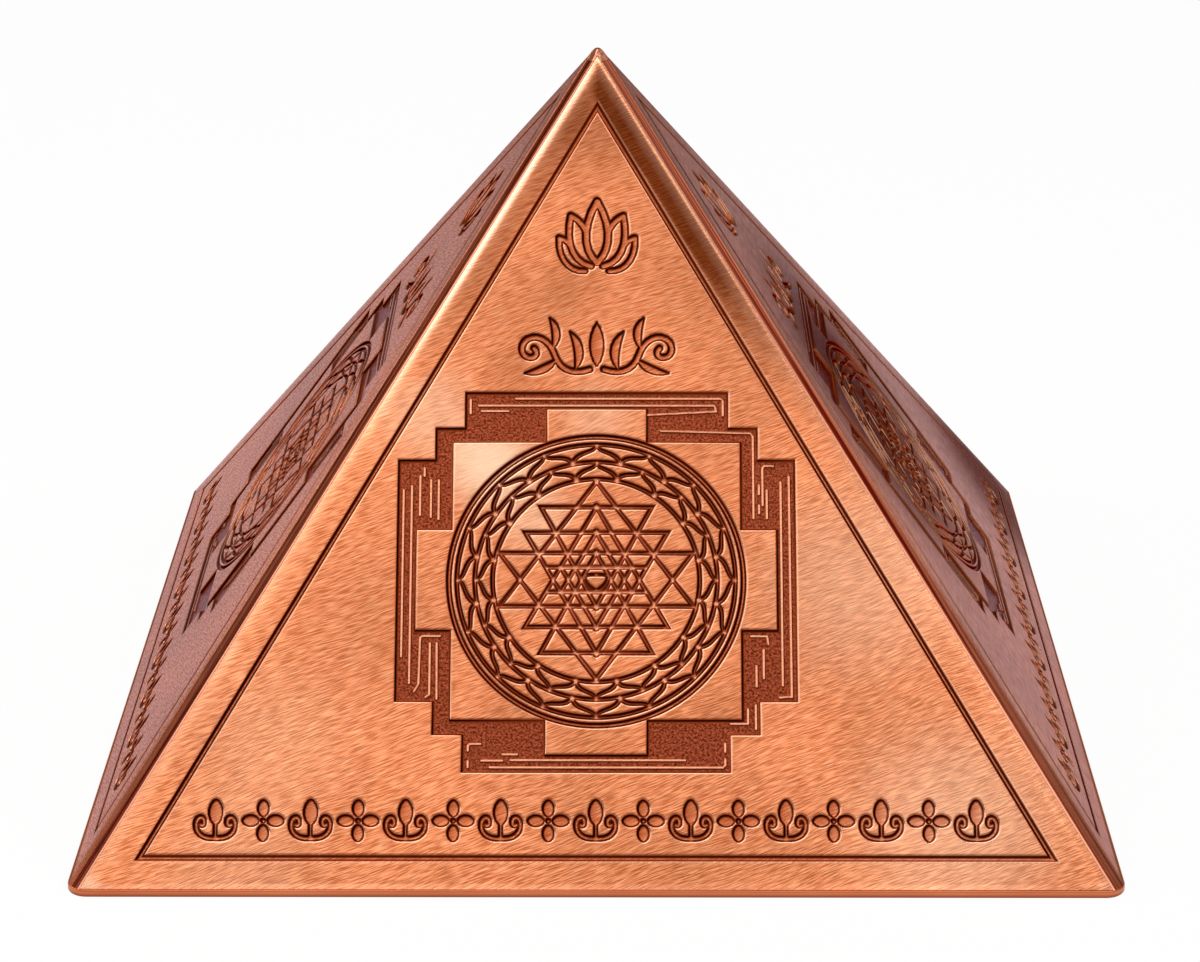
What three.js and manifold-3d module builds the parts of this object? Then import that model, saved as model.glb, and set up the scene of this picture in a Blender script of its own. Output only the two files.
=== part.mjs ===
// A copper yantra pyramid: four pressed face plates on a frame of hip strips, rails and a base plate.
// Millimetres, +Z up. The origin is the middle of the underside, and the front face looks towards -Y.
import * as THREE from 'three';
import { mergeVertices } from 'three/addons/utils/BufferGeometryUtils.js';
import Module from 'manifold-3d';

const wasm = await Module();
wasm.setup();

// Overall shape
const BASE_SIDE = 100;
const APEX_HEIGHT = 69.45; // where the four faces would meet if the tip were sharp
const RIM_HEIGHT = 0.75; // edge of the base plate below the faces
const FACE_SET_IN = 0.15; // the foot of a face stands this far in from the rim
const CORNER_RADIUS = 2;
const CLEARANCE = 0.3; // running gap between pieces that are not face to face

// Face plates
const SHEET = 1;
const MARGIN_ROLL = 1.2; // width over which the margin of a plate rolls off
const MARGIN_DROP = 0.35; // how far it rolls down
const RELIEF_DEPTH = 0.35; // depth of the pressed pattern

// Hip strips
const SEAM_WIDTH = 1.05; // the flat that shows between two faces
const FLANGE_WIDTH = 4;
const FLANGE_THICKNESS = 1.2;

// Apex cap and block
const CAP_DROP = 1.6; // from the sharp apex down to the underside of the cap
const TIP_RADIUS = 0.7;
const STEM_RADIUS = 0.6;
const STEM_LENGTH = 11;
const BLOCK_TOP_HALF = 2.2;
const BLOCK_HEIGHT = 9;

// Base
const BASE_THICKNESS = 2; // at the raised middle of the base plate
const RAIL_HEIGHT = 5.5;
const CORNER_BLOCK_SIDE = 10;
const SCREW_SHANK_RADIUS = 1.5;
const SCREW_HEAD_RADIUS = 2.75;
const SCREW_HEAD_HEIGHT = 1.5;
const SCREW_HEAD_RIM = 0.2;
const SCREW_HEAD_SINK = 0.15; // the head lies this far inside the underside
const SCREW_LENGTH = 5.4;
const SLOT_WIDTH = 0.8;
const SLOT_DEPTH = 0.6;

// Pressed pattern, in the plane of a face: u along the base, v up the slope from the foot
const BORDER_FOOT_INSET = 3; // up from the foot to the border's lower line
const BORDER_CORNER_INSET = 4.3; // in from the hips at its lower corners
const BORDER_TIP_INSET = 6.8; // down from the sharp tip of the face to its top
const BORDER_LINE = 0.5;
const YANTRA_V = 29.85; // middle of the yantra
const YANTRA_LINE = 0.42;
const OUTER_RING_RADIUS = 14.2;
const OUTER_RING_LINE = 0.5;
const LOTUS_RINGS = [13.4, 11.7, 9.95]; // middles of the three grooves that bound the two lotus rings
const STAR_RADIUS = 9.7; // corners of the largest triangles
const STAR_LEVELS = [1.21, 2.62, 4.64, 7.17]; // heights of the horizontal lines from the middle
const STAR_SECOND_HALF = 6.85; // half base of the second triangles
const STAR_THIRD_HALF = 5.35;
const STAR_INNER_HALF = 3.4;
const STAR_INNER_LINE_HALF = 4.75;
const DROP_RADIUS = 0.55;
const SQUARE_OUTER = [[12.8, 18.7], [12.8, 15.1], [15.65, 15.1], [15.65, 11.9], [19.25, 11.9]];
const SQUARE_INNER = [[4.85, 17], [4.85, 13.65], [13.95, 13.65], [13.95, 4.93], [17.4, 4.93]];

// Facets
const RING_SIDES = 32;
const ROUND_SIDES = 20;
const CORNER_STEPS = 4;
const ROLL_STEPS = 2;
const TIP_STEPS = 4;
const CAP_SIDES = 8;

// Angles and lengths that follow from the sizes above
const footHalf = BASE_SIDE / 2 - FACE_SET_IN;
const rise = APEX_HEIGHT - RIM_HEIGHT;
const steepness = rise / footHalf;
const slope = Math.atan(steepness);
const slant = Math.hypot(rise, footHalf);
const baseAngle = Math.atan2(slant, footHalf);
const hipDirection = new THREE.Vector3(1, 1, steepness).normalize();
const hipAcross = new THREE.Vector3(-1, 1, 0).normalize();
const hipOutward = new THREE.Vector3().crossVectors(hipDirection, hipAcross);
const faceNormal = new THREE.Vector3(0, -Math.sin(slope), Math.cos(slope));
const halfDihedral = Math.asin(hipOutward.dot(faceNormal));
const halfSeam = SEAM_WIDTH / 2;
const plateTopZ = APEX_HEIGHT - CAP_DROP - CLEARANCE;
const flangeDepth = SHEET + CLEARANCE + FLANGE_THICKNESS;

// Half width, at height z, of the pyramid that lies the given depth behind the faces
function halfWidthAt(z, depth) {
  return footHalf - (z - RIM_HEIGHT) / steepness - depth / Math.sin(slope);
}

const frameTopZ = RIM_HEIGHT + RAIL_HEIGHT;
const railInner = halfWidthAt(frameTopZ, flangeDepth) - CLEARANCE;

// Takes the vectors of a face's own axes to the front of the pyramid
const faceFrame = new THREE.Matrix4().makeBasis(
  new THREE.Vector3(1, 0, 0),
  new THREE.Vector3(0, Math.cos(slope), Math.sin(slope)),
  faceNormal,
).setPosition(0, -footHalf, RIM_HEIGHT);

function solidOf(geometry) {
  const bare = geometry.clone();
  bare.deleteAttribute('normal');
  bare.deleteAttribute('uv');
  const merged = mergeVertices(bare, 1e-5);
  return new wasm.Manifold(new wasm.Mesh({
    numProp: 3,
    vertProperties: new Float32Array(merged.attributes.position.array),
    triVerts: new Uint32Array(merged.index.array),
  }));
}

function geometryOf(solid) {
  const mesh = solid.getMesh();
  const geometry = new THREE.BufferGeometry();
  geometry.setAttribute('position', new THREE.BufferAttribute(mesh.vertProperties, 3));
  geometry.setIndex(new THREE.BufferAttribute(mesh.triVerts, 1));
  geometry.computeVertexNormals();
  return geometry;
}

function shapeOf(points) {
  return new THREE.Shape(points.map(([x, y]) => new THREE.Vector2(x, y)));
}

// A straight prism of the shape, from one level to another. Each of its arcs gets the given number of
// steps, and three.js takes two steps for each curve segment
function prism(shape, from, to, arcSteps = RING_SIDES) {
  const options = { depth: to - from, bevelEnabled: false, curveSegments: arcSteps / 2 };
  return new THREE.ExtrudeGeometry(shape, options).translate(0, 0, from);
}

// A closed outline moved outwards by the given distance, with its corners kept sharp
function grownOutline(points, distance) {
  return points.map((point, i) => {
    const before = points[(i + points.length - 1) % points.length];
    const after = points[(i + 1) % points.length];
    const into = new THREE.Vector2(point[0] - before[0], point[1] - before[1]).normalize();
    const out = new THREE.Vector2(after[0] - point[0], after[1] - point[1]).normalize();
    const bisector = new THREE.Vector2(into.y + out.y, -into.x - out.x).normalize();
    const reach = distance / bisector.dot(new THREE.Vector2(into.y, -into.x));
    return [point[0] + bisector.x * reach, point[1] + bisector.y * reach];
  });
}

// A line of even width that follows a closed outline, which runs anticlockwise
function framedOutline(points, width) {
  const shape = shapeOf(grownOutline(points, width / 2));
  shape.holes.push(shapeOf(grownOutline(points, -width / 2)));
  return shape;
}

// A line of even width along an open run of points
function strokedLine(points, width) {
  const left = [];
  const right = [];
  points.forEach((point, i) => {
    const before = points[Math.max(i - 1, 0)];
    const after = points[Math.min(i + 1, points.length - 1)];
    const along = new THREE.Vector2(after[0] - before[0], after[1] - before[1]).normalize();
    left.push([point[0] - along.y * width / 2, point[1] + along.x * width / 2]);
    right.unshift([point[0] + along.y * width / 2, point[1] - along.x * width / 2]);
  });
  return shapeOf([...right, ...left]);
}

function ringShape(radius, width) {
  const shape = new THREE.Shape().absarc(0, YANTRA_V, radius + width / 2, 0, Math.PI * 2, false);
  shape.holes.push(new THREE.Path().absarc(0, YANTRA_V, radius - width / 2, 0, Math.PI * 2, true));
  return shape;
}

// A triangle of the star, anticlockwise. It points up where way is 1, and down where way is -1
function starTriangle(way, half, baseLevel, apexLevel) {
  const corners = [[-half, -way * baseLevel], [half, -way * baseLevel], [0, way * apexLevel]];
  const placed = corners.map(([u, v]) => [u, v + YANTRA_V]);
  return framedOutline(way > 0 ? placed : placed.reverse(), YANTRA_LINE);
}

function starShapes() {
  const [low, second, third, high] = STAR_LEVELS;
  const firstHalf = Math.sqrt(STAR_RADIUS ** 2 - second ** 2);
  return [1, -1].flatMap((way) => [
    starTriangle(way, firstHalf, second, STAR_RADIUS),
    starTriangle(way, STAR_SECOND_HALF, third, high),
    starTriangle(way, STAR_THIRD_HALF, high, second),
    starTriangle(way, STAR_INNER_HALF, low, third),
    strokedLine([-1, 1].map((side) => [side * STAR_INNER_LINE_HALF, YANTRA_V + way * low]), YANTRA_LINE),
  ]);
}

// The stepped square with its four gates, from the corners of one quarter
function quarteredOutline(quarter) {
  const placed = (su, sv) => quarter.map(([u, v]) => [su * u, YANTRA_V + sv * v]);
  return shapeOf([
    ...placed(1, 1),
    ...placed(1, -1).reverse(),
    ...placed(-1, -1),
    ...placed(-1, 1).reverse(),
  ].reverse());
}

function squareShape() {
  const shape = quarteredOutline(SQUARE_OUTER);
  shape.holes.push(quarteredOutline(SQUARE_INNER));
  return shape;
}

function borderShape() {
  const half = footHalf - BORDER_FOOT_INSET / Math.tan(baseAngle) - BORDER_CORNER_INSET / Math.sin(baseAngle);
  const corners = [[-half, BORDER_FOOT_INSET], [half, BORDER_FOOT_INSET], [0, slant - BORDER_TIP_INSET]];
  return framedOutline(corners, BORDER_LINE);
}

// Everything that the press leaves sunk in one face, as one cutter in the face's own axes
function patternCutter() {
  const shapes = [
    borderShape(),
    squareShape(),
    ringShape(OUTER_RING_RADIUS, OUTER_RING_LINE),
    ...LOTUS_RINGS.map((radius) => ringShape(radius, YANTRA_LINE)),
    ...starShapes(),
    ringShape(DROP_RADIUS, YANTRA_LINE / 2),
  ];
  return shapes
    .map((shape) => solidOf(prism(shape, -RELIEF_DEPTH, SHEET)))
    .reduce((all, cutter) => all.add(cutter));
}

function roundedSquare(half, radius) {
  const shape = new THREE.Shape();
  shape.absarc(half - radius, half - radius, radius, 0, Math.PI / 2, false);
  shape.absarc(radius - half, half - radius, radius, Math.PI / 2, Math.PI, false);
  shape.absarc(radius - half, radius - half, radius, Math.PI, Math.PI * 1.5, false);
  shape.absarc(half - radius, radius - half, radius, Math.PI * 1.5, Math.PI * 2, false);
  return shape;
}

// Everything that stands on the rim keeps to its outline and stops below the cap
function envelope() {
  return solidOf(prism(roundedSquare(BASE_SIDE / 2, CORNER_RADIUS), RIM_HEIGHT, plateTopZ, CORNER_STEPS));
}

// The front plate: a sheet with rolled margins, mitred along the two hips and cut level at its foot
function facePlateGeometry() {
  const hipInset = (halfSeam + CLEARANCE) / Math.sin(halfDihedral);
  const sideways = hipInset / Math.sin(baseAngle);
  const outline = shapeOf([
    [sideways - footHalf, 0],
    [footHalf - sideways, 0],
    [0, slant - sideways * Math.tan(baseAngle)],
  ]);
  const blank = new THREE.ExtrudeGeometry(outline, {
    depth: 2 * SHEET,
    bevelEnabled: true,
    bevelThickness: MARGIN_DROP,
    bevelSize: MARGIN_ROLL,
    bevelOffset: -MARGIN_ROLL,
    bevelSegments: ROLL_STEPS,
  }).translate(0, 0, -2 * SHEET - MARGIN_DROP);
  const behind = shapeOf([[-BASE_SIDE, -BASE_SIDE], [BASE_SIDE, -BASE_SIDE], [BASE_SIDE, 2 * slant],
    [-BASE_SIDE, 2 * slant]]);
  const inside = prism(behind, -BASE_SIDE, -SHEET);
  const mitre = (halfSeam + CLEARANCE) * Math.SQRT2;
  const wedge = shapeOf([[0, -mitre], [-BASE_SIDE, -mitre - BASE_SIDE], [BASE_SIDE, -mitre - BASE_SIDE]]);
  const pressed = solidOf(blank).subtract(solidOf(inside)).subtract(patternCutter());
  const solid = solidOf(geometryOf(pressed).applyMatrix4(faceFrame))
    .intersect(solidOf(prism(wedge, 0, APEX_HEIGHT)))
    .intersect(envelope());
  return geometryOf(solid);
}

// The strip of the front left hip: a nose between two plates, and a flange behind each of them
function hipStripGeometry() {
  const sine = Math.sin(halfDihedral);
  const cosine = Math.cos(halfDihedral);
  const noseTop = -halfSeam * cosine / sine;
  const noseFoot = noseTop - (SHEET + CLEARANCE) / sine;
  const rightSide = [
    [halfSeam, noseTop],
    [halfSeam, noseFoot],
    [halfSeam + FLANGE_WIDTH * sine, noseFoot - FLANGE_WIDTH * cosine],
    [
      halfSeam + FLANGE_WIDTH * sine - FLANGE_THICKNESS * cosine,
      noseFoot - FLANGE_WIDTH * cosine - FLANGE_THICKNESS * sine,
    ],
  ];
  const section = shapeOf([
    ...rightSide,
    [0, -flangeDepth / sine],
    ...rightSide.map(([x, y]) => [-x, y]).reverse(),
  ].reverse());
  const hipFrame = new THREE.Matrix4().makeBasis(hipAcross, hipOutward, hipDirection)
    .setPosition(0, 0, APEX_HEIGHT);
  const bar = prism(section, -2 * BASE_SIDE, BASE_SIDE).applyMatrix4(hipFrame);
  const quarter = shapeOf([
    [-CLEARANCE / 2, -CLEARANCE / 2],
    [-BASE_SIDE, -CLEARANCE / 2],
    [-BASE_SIDE, -BASE_SIDE],
    [-CLEARANCE / 2, -BASE_SIDE],
  ]);
  const bore = new THREE.Shape().absarc(0, 0, STEM_RADIUS + CLEARANCE, 0, Math.PI * 2, false);
  const solid = solidOf(bar)
    .intersect(solidOf(prism(quarter, 0, APEX_HEIGHT)))
    .intersect(envelope())
    .subtract(solidOf(prism(bore, 0, APEX_HEIGHT, ROUND_SIDES)));
  return geometryOf(solid);
}

// A turned solid from its outline of radius and height
function turned(outline, sides, start = 0) {
  const points = outline.map(([radius, z]) => new THREE.Vector2(radius, z));
  return new THREE.LatheGeometry(points, sides, start).rotateX(Math.PI / 2);
}

// Eight sided, so that four of its sides carry on the faces and four carry on the hips
function apexCapGeometry() {
  const toCorner = 1 / Math.cos(Math.PI / CAP_SIDES);
  const underside = APEX_HEIGHT - CAP_DROP;
  const tipMiddle = APEX_HEIGHT - TIP_RADIUS / Math.cos(slope);
  const outline = [
    [0, underside - STEM_LENGTH],
    [STEM_RADIUS, underside - STEM_LENGTH],
    [STEM_RADIUS, underside],
    [CAP_DROP / steepness * toCorner, underside],
  ];
  for (let step = 0; step <= TIP_STEPS; step += 1) {
    const angle = Math.PI / 2 - slope + slope * step / TIP_STEPS;
    const radius = step === TIP_STEPS ? 0 : TIP_RADIUS * Math.cos(angle) * toCorner;
    outline.push([radius, tipMiddle + TIP_RADIUS * Math.sin(angle)]);
  }
  return turned(outline, CAP_SIDES, Math.PI / CAP_SIDES);
}

// The frustum that fills the top of the hollow behind the flanges, with a bore for the stem of the cap
function apexBlockGeometry() {
  const reach = flangeDepth + CLEARANCE;
  const topZ = APEX_HEIGHT - reach / Math.cos(slope) - BLOCK_TOP_HALF * steepness;
  const bottomZ = topZ - BLOCK_HEIGHT;
  const bottomHalf = halfWidthAt(bottomZ, reach);
  const frustum = turned([
    [0, bottomZ],
    [bottomHalf * Math.SQRT2, bottomZ],
    [BLOCK_TOP_HALF * Math.SQRT2, topZ],
    [0, topZ],
  ], 4, Math.PI / 4);
  const boreFoot = APEX_HEIGHT - CAP_DROP - STEM_LENGTH - CLEARANCE;
  const bore = new THREE.Shape().absarc(0, 0, STEM_RADIUS + CLEARANCE, 0, Math.PI * 2, false);
  return geometryOf(solidOf(frustum).subtract(solidOf(prism(bore, boreFoot, APEX_HEIGHT, ROUND_SIDES))));
}

// The front rail stands behind the foot of the front plate and stops short of the flanges
function baseRailGeometry() {
  const sine = Math.sin(halfDihedral);
  const cosine = Math.cos(halfDihedral);
  const flangeStart = halfSeam * sine + ((SHEET + CLEARANCE) / sine + halfSeam * cosine / sine) * cosine;
  const flangeReach = (flangeStart + FLANGE_WIDTH) / Math.sin(baseAngle);
  const runAtTop = (RAIL_HEIGHT + flangeDepth * Math.cos(slope)) / Math.sin(slope);
  const halfLength = footHalf - runAtTop / Math.tan(baseAngle) - flangeReach - CLEARANCE;
  const plateBack = SHEET + CLEARANCE;
  const section = shapeOf([
    [-halfWidthAt(RIM_HEIGHT, plateBack), RIM_HEIGHT],
    [-railInner, RIM_HEIGHT],
    [-railInner, frameTopZ],
    [-halfWidthAt(frameTopZ, plateBack), frameTopZ],
  ]);
  const alongX = new THREE.Matrix4().makeBasis(
    new THREE.Vector3(0, 1, 0),
    new THREE.Vector3(0, 0, 1),
    new THREE.Vector3(1, 0, 0),
  );
  return prism(section, -halfLength, halfLength).applyMatrix4(alongX);
}

const screwPlace = railInner - CORNER_BLOCK_SIDE / 2;

// The block of the front left corner, in the angle between two rails, bored for its screw
function cornerBlockGeometry() {
  const near = railInner - CORNER_BLOCK_SIDE;
  const far = railInner;
  const shape = shapeOf([[-far, -far], [-near, -far], [-near, -near], [-far, -near]]);
  const holeRadius = SCREW_SHANK_RADIUS + CLEARANCE;
  const hole = new THREE.Path().absarc(-screwPlace, -screwPlace, holeRadius, 0, Math.PI * 2, true);
  shape.holes.push(hole);
  return prism(shape, BASE_THICKNESS, frameTopZ, ROUND_SIDES);
}

function screwOutline(grow, from, to) {
  return [
    [0, from],
    [SCREW_HEAD_RADIUS + grow, from],
    [SCREW_HEAD_RADIUS + grow, SCREW_HEAD_SINK + SCREW_HEAD_RIM],
    [SCREW_SHANK_RADIUS + grow, SCREW_HEAD_SINK + SCREW_HEAD_HEIGHT],
    [SCREW_SHANK_RADIUS + grow, to],
    [0, to],
  ];
}

// The thin rim carries the plates. The raised middle fits inside the rails and takes the screw heads
function basePlateGeometry() {
  const stepHalf = railInner - CLEARANCE;
  const rim = solidOf(prism(roundedSquare(BASE_SIDE / 2, CORNER_RADIUS), 0, RIM_HEIGHT, CORNER_STEPS));
  const step = shapeOf([[-stepHalf, -stepHalf], [stepHalf, -stepHalf], [stepHalf, stepHalf],
    [-stepHalf, stepHalf]]);
  let solid = rim.add(solidOf(prism(step, 0, BASE_THICKNESS)));
  for (const [x, y] of [[-1, -1], [1, -1], [1, 1], [-1, 1]]) {
    const pocket = turned(screwOutline(CLEARANCE, -BASE_THICKNESS, 2 * BASE_THICKNESS), ROUND_SIDES);
    solid = solid.subtract(solidOf(pocket.translate(x * screwPlace, y * screwPlace, 0)));
  }
  return geometryOf(solid);
}

function baseScrewGeometry() {
  const body = turned(screwOutline(0, SCREW_HEAD_SINK, SCREW_HEAD_SINK + SCREW_LENGTH), ROUND_SIDES);
  const slot = new THREE.BoxGeometry(3 * SCREW_HEAD_RADIUS, SLOT_WIDTH, 2 * SLOT_DEPTH)
    .translate(0, 0, SCREW_HEAD_SINK);
  return geometryOf(solidOf(body).subtract(solidOf(slot)));
}

function metal(color, roughness) {
  return new THREE.MeshStandardMaterial({ color, roughness, metalness: 1, flatShading: true });
}

const pyramid = new THREE.Group();

function addPiece(name, geometry, material, quarterTurns = 0) {
  const mesh = new THREE.Mesh(geometry, material);
  mesh.name = name;
  mesh.rotation.z = quarterTurns * Math.PI / 2;
  pyramid.add(mesh);
  return mesh;
}

const plateGeometry = facePlateGeometry();
const stripGeometry = hipStripGeometry();
const railGeometry = baseRailGeometry();
const blockGeometry = cornerBlockGeometry();
const screwGeometry = baseScrewGeometry();

// The sides follow one another anticlockwise from above, and each corner comes before its side
const SIDES = ['front', 'right', 'back', 'left'];
const CORNERS = ['front_left', 'front_right', 'back_right', 'back_left'];
const upAxis = new THREE.Vector3(0, 0, 1);
SIDES.forEach((side, turns) => {
  addPiece(`${side}_face_plate`, plateGeometry, metal(0xd58a5e, 0.38), turns);
  addPiece(`${side}_base_rail`, railGeometry, metal(0xa9683f, 0.5), turns);
});
CORNERS.forEach((corner, turns) => {
  addPiece(`${corner}_hip_strip`, stripGeometry, metal(0x7a3a1c, 0.22), turns);
  addPiece(`${corner}_corner_block`, blockGeometry, metal(0xa9683f, 0.5), turns);
  const screw = addPiece(`${corner}_base_screw`, screwGeometry, metal(0xb9b4a8, 0.35));
  screw.position.set(-screwPlace, -screwPlace, 0).applyAxisAngle(upAxis, turns * Math.PI / 2);
});
addPiece('apex_cap', apexCapGeometry(), metal(0xc47a50, 0.25));
addPiece('apex_block', apexBlockGeometry(), metal(0xa9683f, 0.5));
addPiece('base_plate', basePlateGeometry(), metal(0xc77d55, 0.4));

export default pyramid;
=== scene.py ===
# %% [markdown]
# # A copper yantra pyramid
# Four copper plates, each pressed with the same yantra, lean together on a square base plate. The CAD frame
# gives every piece its place, so this lesson keeps its axes: the origin is the middle of the underside, +Z
# is up, and the front face looks towards -Y. It adds what the solids leave out: the pressed ornament with
# its soft lips, the brushed grain, and the brown left in the lines.

# %% Load the frame
from math import asin, atan, atan2, cos, degrees, hypot, pi, radians, sin, sqrt, tan

import bmesh
import bpy
import numpy as np
from mathutils import Matrix, Vector
from mathutils.geometry import delaunay_2d_cdt


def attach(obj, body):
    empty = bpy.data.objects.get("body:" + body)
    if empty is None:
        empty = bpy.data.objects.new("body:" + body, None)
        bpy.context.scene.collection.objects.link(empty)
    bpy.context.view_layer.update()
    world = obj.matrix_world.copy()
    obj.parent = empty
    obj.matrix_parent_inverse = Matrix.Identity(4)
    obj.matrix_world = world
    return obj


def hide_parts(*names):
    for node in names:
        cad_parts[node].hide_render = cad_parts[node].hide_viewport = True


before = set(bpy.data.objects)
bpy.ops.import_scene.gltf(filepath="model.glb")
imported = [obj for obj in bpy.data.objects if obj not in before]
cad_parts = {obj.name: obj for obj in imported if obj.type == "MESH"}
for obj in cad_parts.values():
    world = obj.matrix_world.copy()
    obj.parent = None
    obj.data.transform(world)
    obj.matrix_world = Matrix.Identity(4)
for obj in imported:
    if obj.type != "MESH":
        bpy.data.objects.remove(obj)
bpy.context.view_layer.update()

# %% [markdown]
# ## Sizes
# The pieces share a few lengths with the CAD, written once here, in millimetres. A face is a sloping
# triangle with axes of its own: u runs along the foot, v climbs the slope from the foot, and w points
# straight out of the metal. Everything on a face is drawn in (u, v, w) and then laid on the pyramid.

# %% Sizes in millimetres
MM = 0.001
APEX_HEIGHT = 69.45  # where the planes of the four faces meet
RIM_HEIGHT = 0.75
HALF_BASE = 50.0
FACE_SET_IN = 0.15
CORNER_RADIUS = 2.0
SHEET = 1.0
HALF_SEAM = 0.525
SEAM_WIDENING = 0.25  # what each half of a seam gains from the tip down to the foot
JOINT_GAP = 0.03  # the CAD keeps 0.3 mm between the pieces, but the real joints close up
CAP_UNDERSIDE = 67.85
foot_half = HALF_BASE - FACE_SET_IN
rise = APEX_HEIGHT - RIM_HEIGHT
steepness = rise / foot_half
slope = atan(steepness)
slant = hypot(rise, foot_half)
base_angle = atan2(slant, foot_half)
sin_slope, cos_slope, sin_base, cos_base = sin(slope), cos(slope), sin(base_angle), cos(base_angle)
SIDES = ["front", "right", "back", "left"]
CORNERS = ["front_left", "front_right", "back_right", "back_left"]
CORNER_SIGNS = [(-1, -1), (1, -1), (1, 1), (-1, 1)]
print(f"faces lean at {degrees(slope):.2f} degrees and are {slant:.2f} mm from foot to tip")

# %% Axes of a face and of a hip
face_axes = np.array([[1, 0, 0], [0, cos_slope, sin_slope], [0, -sin_slope, cos_slope]])
face_foot = np.array([0, -foot_half, RIM_HEIGHT])
hip_along = np.array([1, 1, steepness]) / sqrt(2 + steepness ** 2)
hip_across = np.array([-1, 1, 0]) / sqrt(2)
hip_outward = np.cross(hip_along, hip_across)
half_dihedral = asin(hip_outward @ face_axes[2])


def quarter_turns(points, turns):
    c, s = cos(turns * pi / 2), sin(turns * pi / 2)
    return np.asarray(points) @ np.array([[c, -s, 0], [s, c, 0], [0, 0, 1]]).T


def direction(azimuth, elevation):
    """Towards a camera or a lamp, from degrees. Azimuth 0 is in front, and it grows to the right"""
    a, e = radians(azimuth), radians(elevation)
    return np.array([sin(a) * cos(e), -cos(a) * cos(e), sin(e)])


# %% [markdown]
# ## Colour, nodes and objects
# Colours are the hex values that an eyedropper gives, and one function makes them linear, as a renderer
# wants them. Every material is a tree of nodes, so one small helper adds a node to the current tree. Its
# inputs come by name, or in the order in which the node shows them, and a node given as input stands for
# its output.

# %% Helpers


def linear(hex_text):
    channels = [int(hex_text[i:i + 2], 16) / 255 for i in (1, 3, 5)]
    return [c / 12.92 if c <= 0.04045 else ((c + 0.055) / 1.055) ** 2.4 for c in channels] + [1]


def add_node(kind, inputs=(), **settings):
    node = tree.nodes.new("ShaderNode" + kind)
    for name, value in settings.items():
        setattr(node, name, value)
    if not isinstance(inputs, dict):
        inputs = dict(zip([i for i, socket in enumerate(node.inputs) if socket.enabled], inputs))
    for key, value in inputs.items():
        if isinstance(value, bpy.types.Node):
            value = next(output for output in value.outputs if output.enabled)
        if isinstance(value, bpy.types.NodeSocket):
            tree.links.new(value, node.inputs[key])
        else:
            node.inputs[key].default_value = linear(value) if isinstance(value, str) else value
    return node


# Settings that many nodes share
RGBA = {"data_type": "RGBA"}
PRODUCT = {"operation": "MULTIPLY"}
SMOOTH = {"interpolation_type": "SMOOTHSTEP"}
STRETCHED = {"vector_type": "TEXTURE"}


def new_material(name):
    material = bpy.data.materials.new(name)
    material.use_nodes = True
    material.node_tree.nodes.clear()
    return material, material.node_tree


def new_object(name, data):
    made = bpy.data.objects.new(name, data)
    bpy.context.scene.collection.objects.link(made)
    return made


def mesh_object(name, points, faces, material=None):
    """A mesh in metres from points in millimetres"""
    mesh = bpy.data.meshes.new(name)
    mesh.from_pydata((np.asarray(points) * MM).tolist(), [], faces)
    if material:
        mesh.materials.append(material)
    mesh.update()
    return new_object(name, mesh)


# %% [markdown]
# ## Camera
# The photograph is taken from straight in front and a little above, with a long lens, so the foot of the
# pyramid stays almost straight. The numbers come from fitting the corners of the pyramid to the picture.
# The camera is built from its three axes, which is less error prone than three rotations.

# %% Camera
CAMERA_AZIMUTH, CAMERA_ELEVATION, CAMERA_ROLL = 0.37, 22.292, radians(0.111)
CAMERA_DISTANCE = 337.35
CAMERA_TARGET = np.array([0.162, 0.0, 21.92])
LENS = 95.43

camera_back = direction(CAMERA_AZIMUTH, CAMERA_ELEVATION)
level_right = direction(CAMERA_AZIMUTH + 90, 0)
level_up = np.cross(camera_back, level_right)
camera_right = cos(CAMERA_ROLL) * level_right - sin(CAMERA_ROLL) * level_up
camera_up = sin(CAMERA_ROLL) * level_right + cos(CAMERA_ROLL) * level_up
camera_place = (CAMERA_TARGET + camera_back * CAMERA_DISTANCE) * MM
camera_data = bpy.data.cameras.new("photo_camera")
camera_data.lens = LENS
camera_data.sensor_width = 36
camera_data.clip_start = 0.01
camera = new_object("photo_camera", camera_data)
camera_columns = np.column_stack([camera_right, camera_up, camera_back, camera_place])
camera.matrix_world = Matrix(camera_columns.tolist() + [[0, 0, 0, 1]])
bpy.context.scene.camera = camera
bpy.context.scene.view_settings.view_transform = "Standard"
print("camera at", [round(c * 1000, 1) for c in camera_place], "mm")

# %% [markdown]
# ## Floor and light
# The studio is as plain as it can be: a pale matt floor, a dim grey room, and large soft lamps. Polished
# metal has hardly any look of its own, because it shows the room, so each lamp hangs where a surface should
# mirror it. The front face mirrors what is above the camera, and the rolled margins mirror the lamps on
# either side of that. The side faces look out past the dim room towards the lamps on the far left and
# right, and the narrow flats between them mirror mostly the room, which keeps them dark.

# %% Floor
FLOOR_HALF = 700.0
floor_material, tree = new_material("matt_paper_floor")
paper_tint = add_node("TexNoise", {"Scale": 40.0, "Detail": 3.0})
paper_colour = add_node("Mix", [paper_tint, "#FBFBFA", "#FEFEFD"], **RGBA)
paper = add_node("BsdfDiffuse", {"Color": paper_colour, "Roughness": 0.6})
ray = add_node("LightPath")
seen = ray.outputs["Is Camera Ray"]
for other_kind in ("Is Glossy Ray", "Is Transmission Ray"):
    seen = add_node("Math", [seen, ray.outputs[other_kind]], operation="MAXIMUM")
glow_share = add_node("Math", [seen, 0.92], **PRODUCT)
glow = add_node("Emission", {"Color": "#FFFFFF", "Strength": 1.0})
floor_mix = add_node("MixShader", [glow_share, paper, glow])
add_node("OutputMaterial", [floor_mix])
floor_corners = [(x * FLOOR_HALF, y * FLOOR_HALF, 0) for x, y in CORNER_SIGNS]
floor = mesh_object("floor", floor_corners, [(0, 1, 2, 3)], floor_material)

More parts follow.
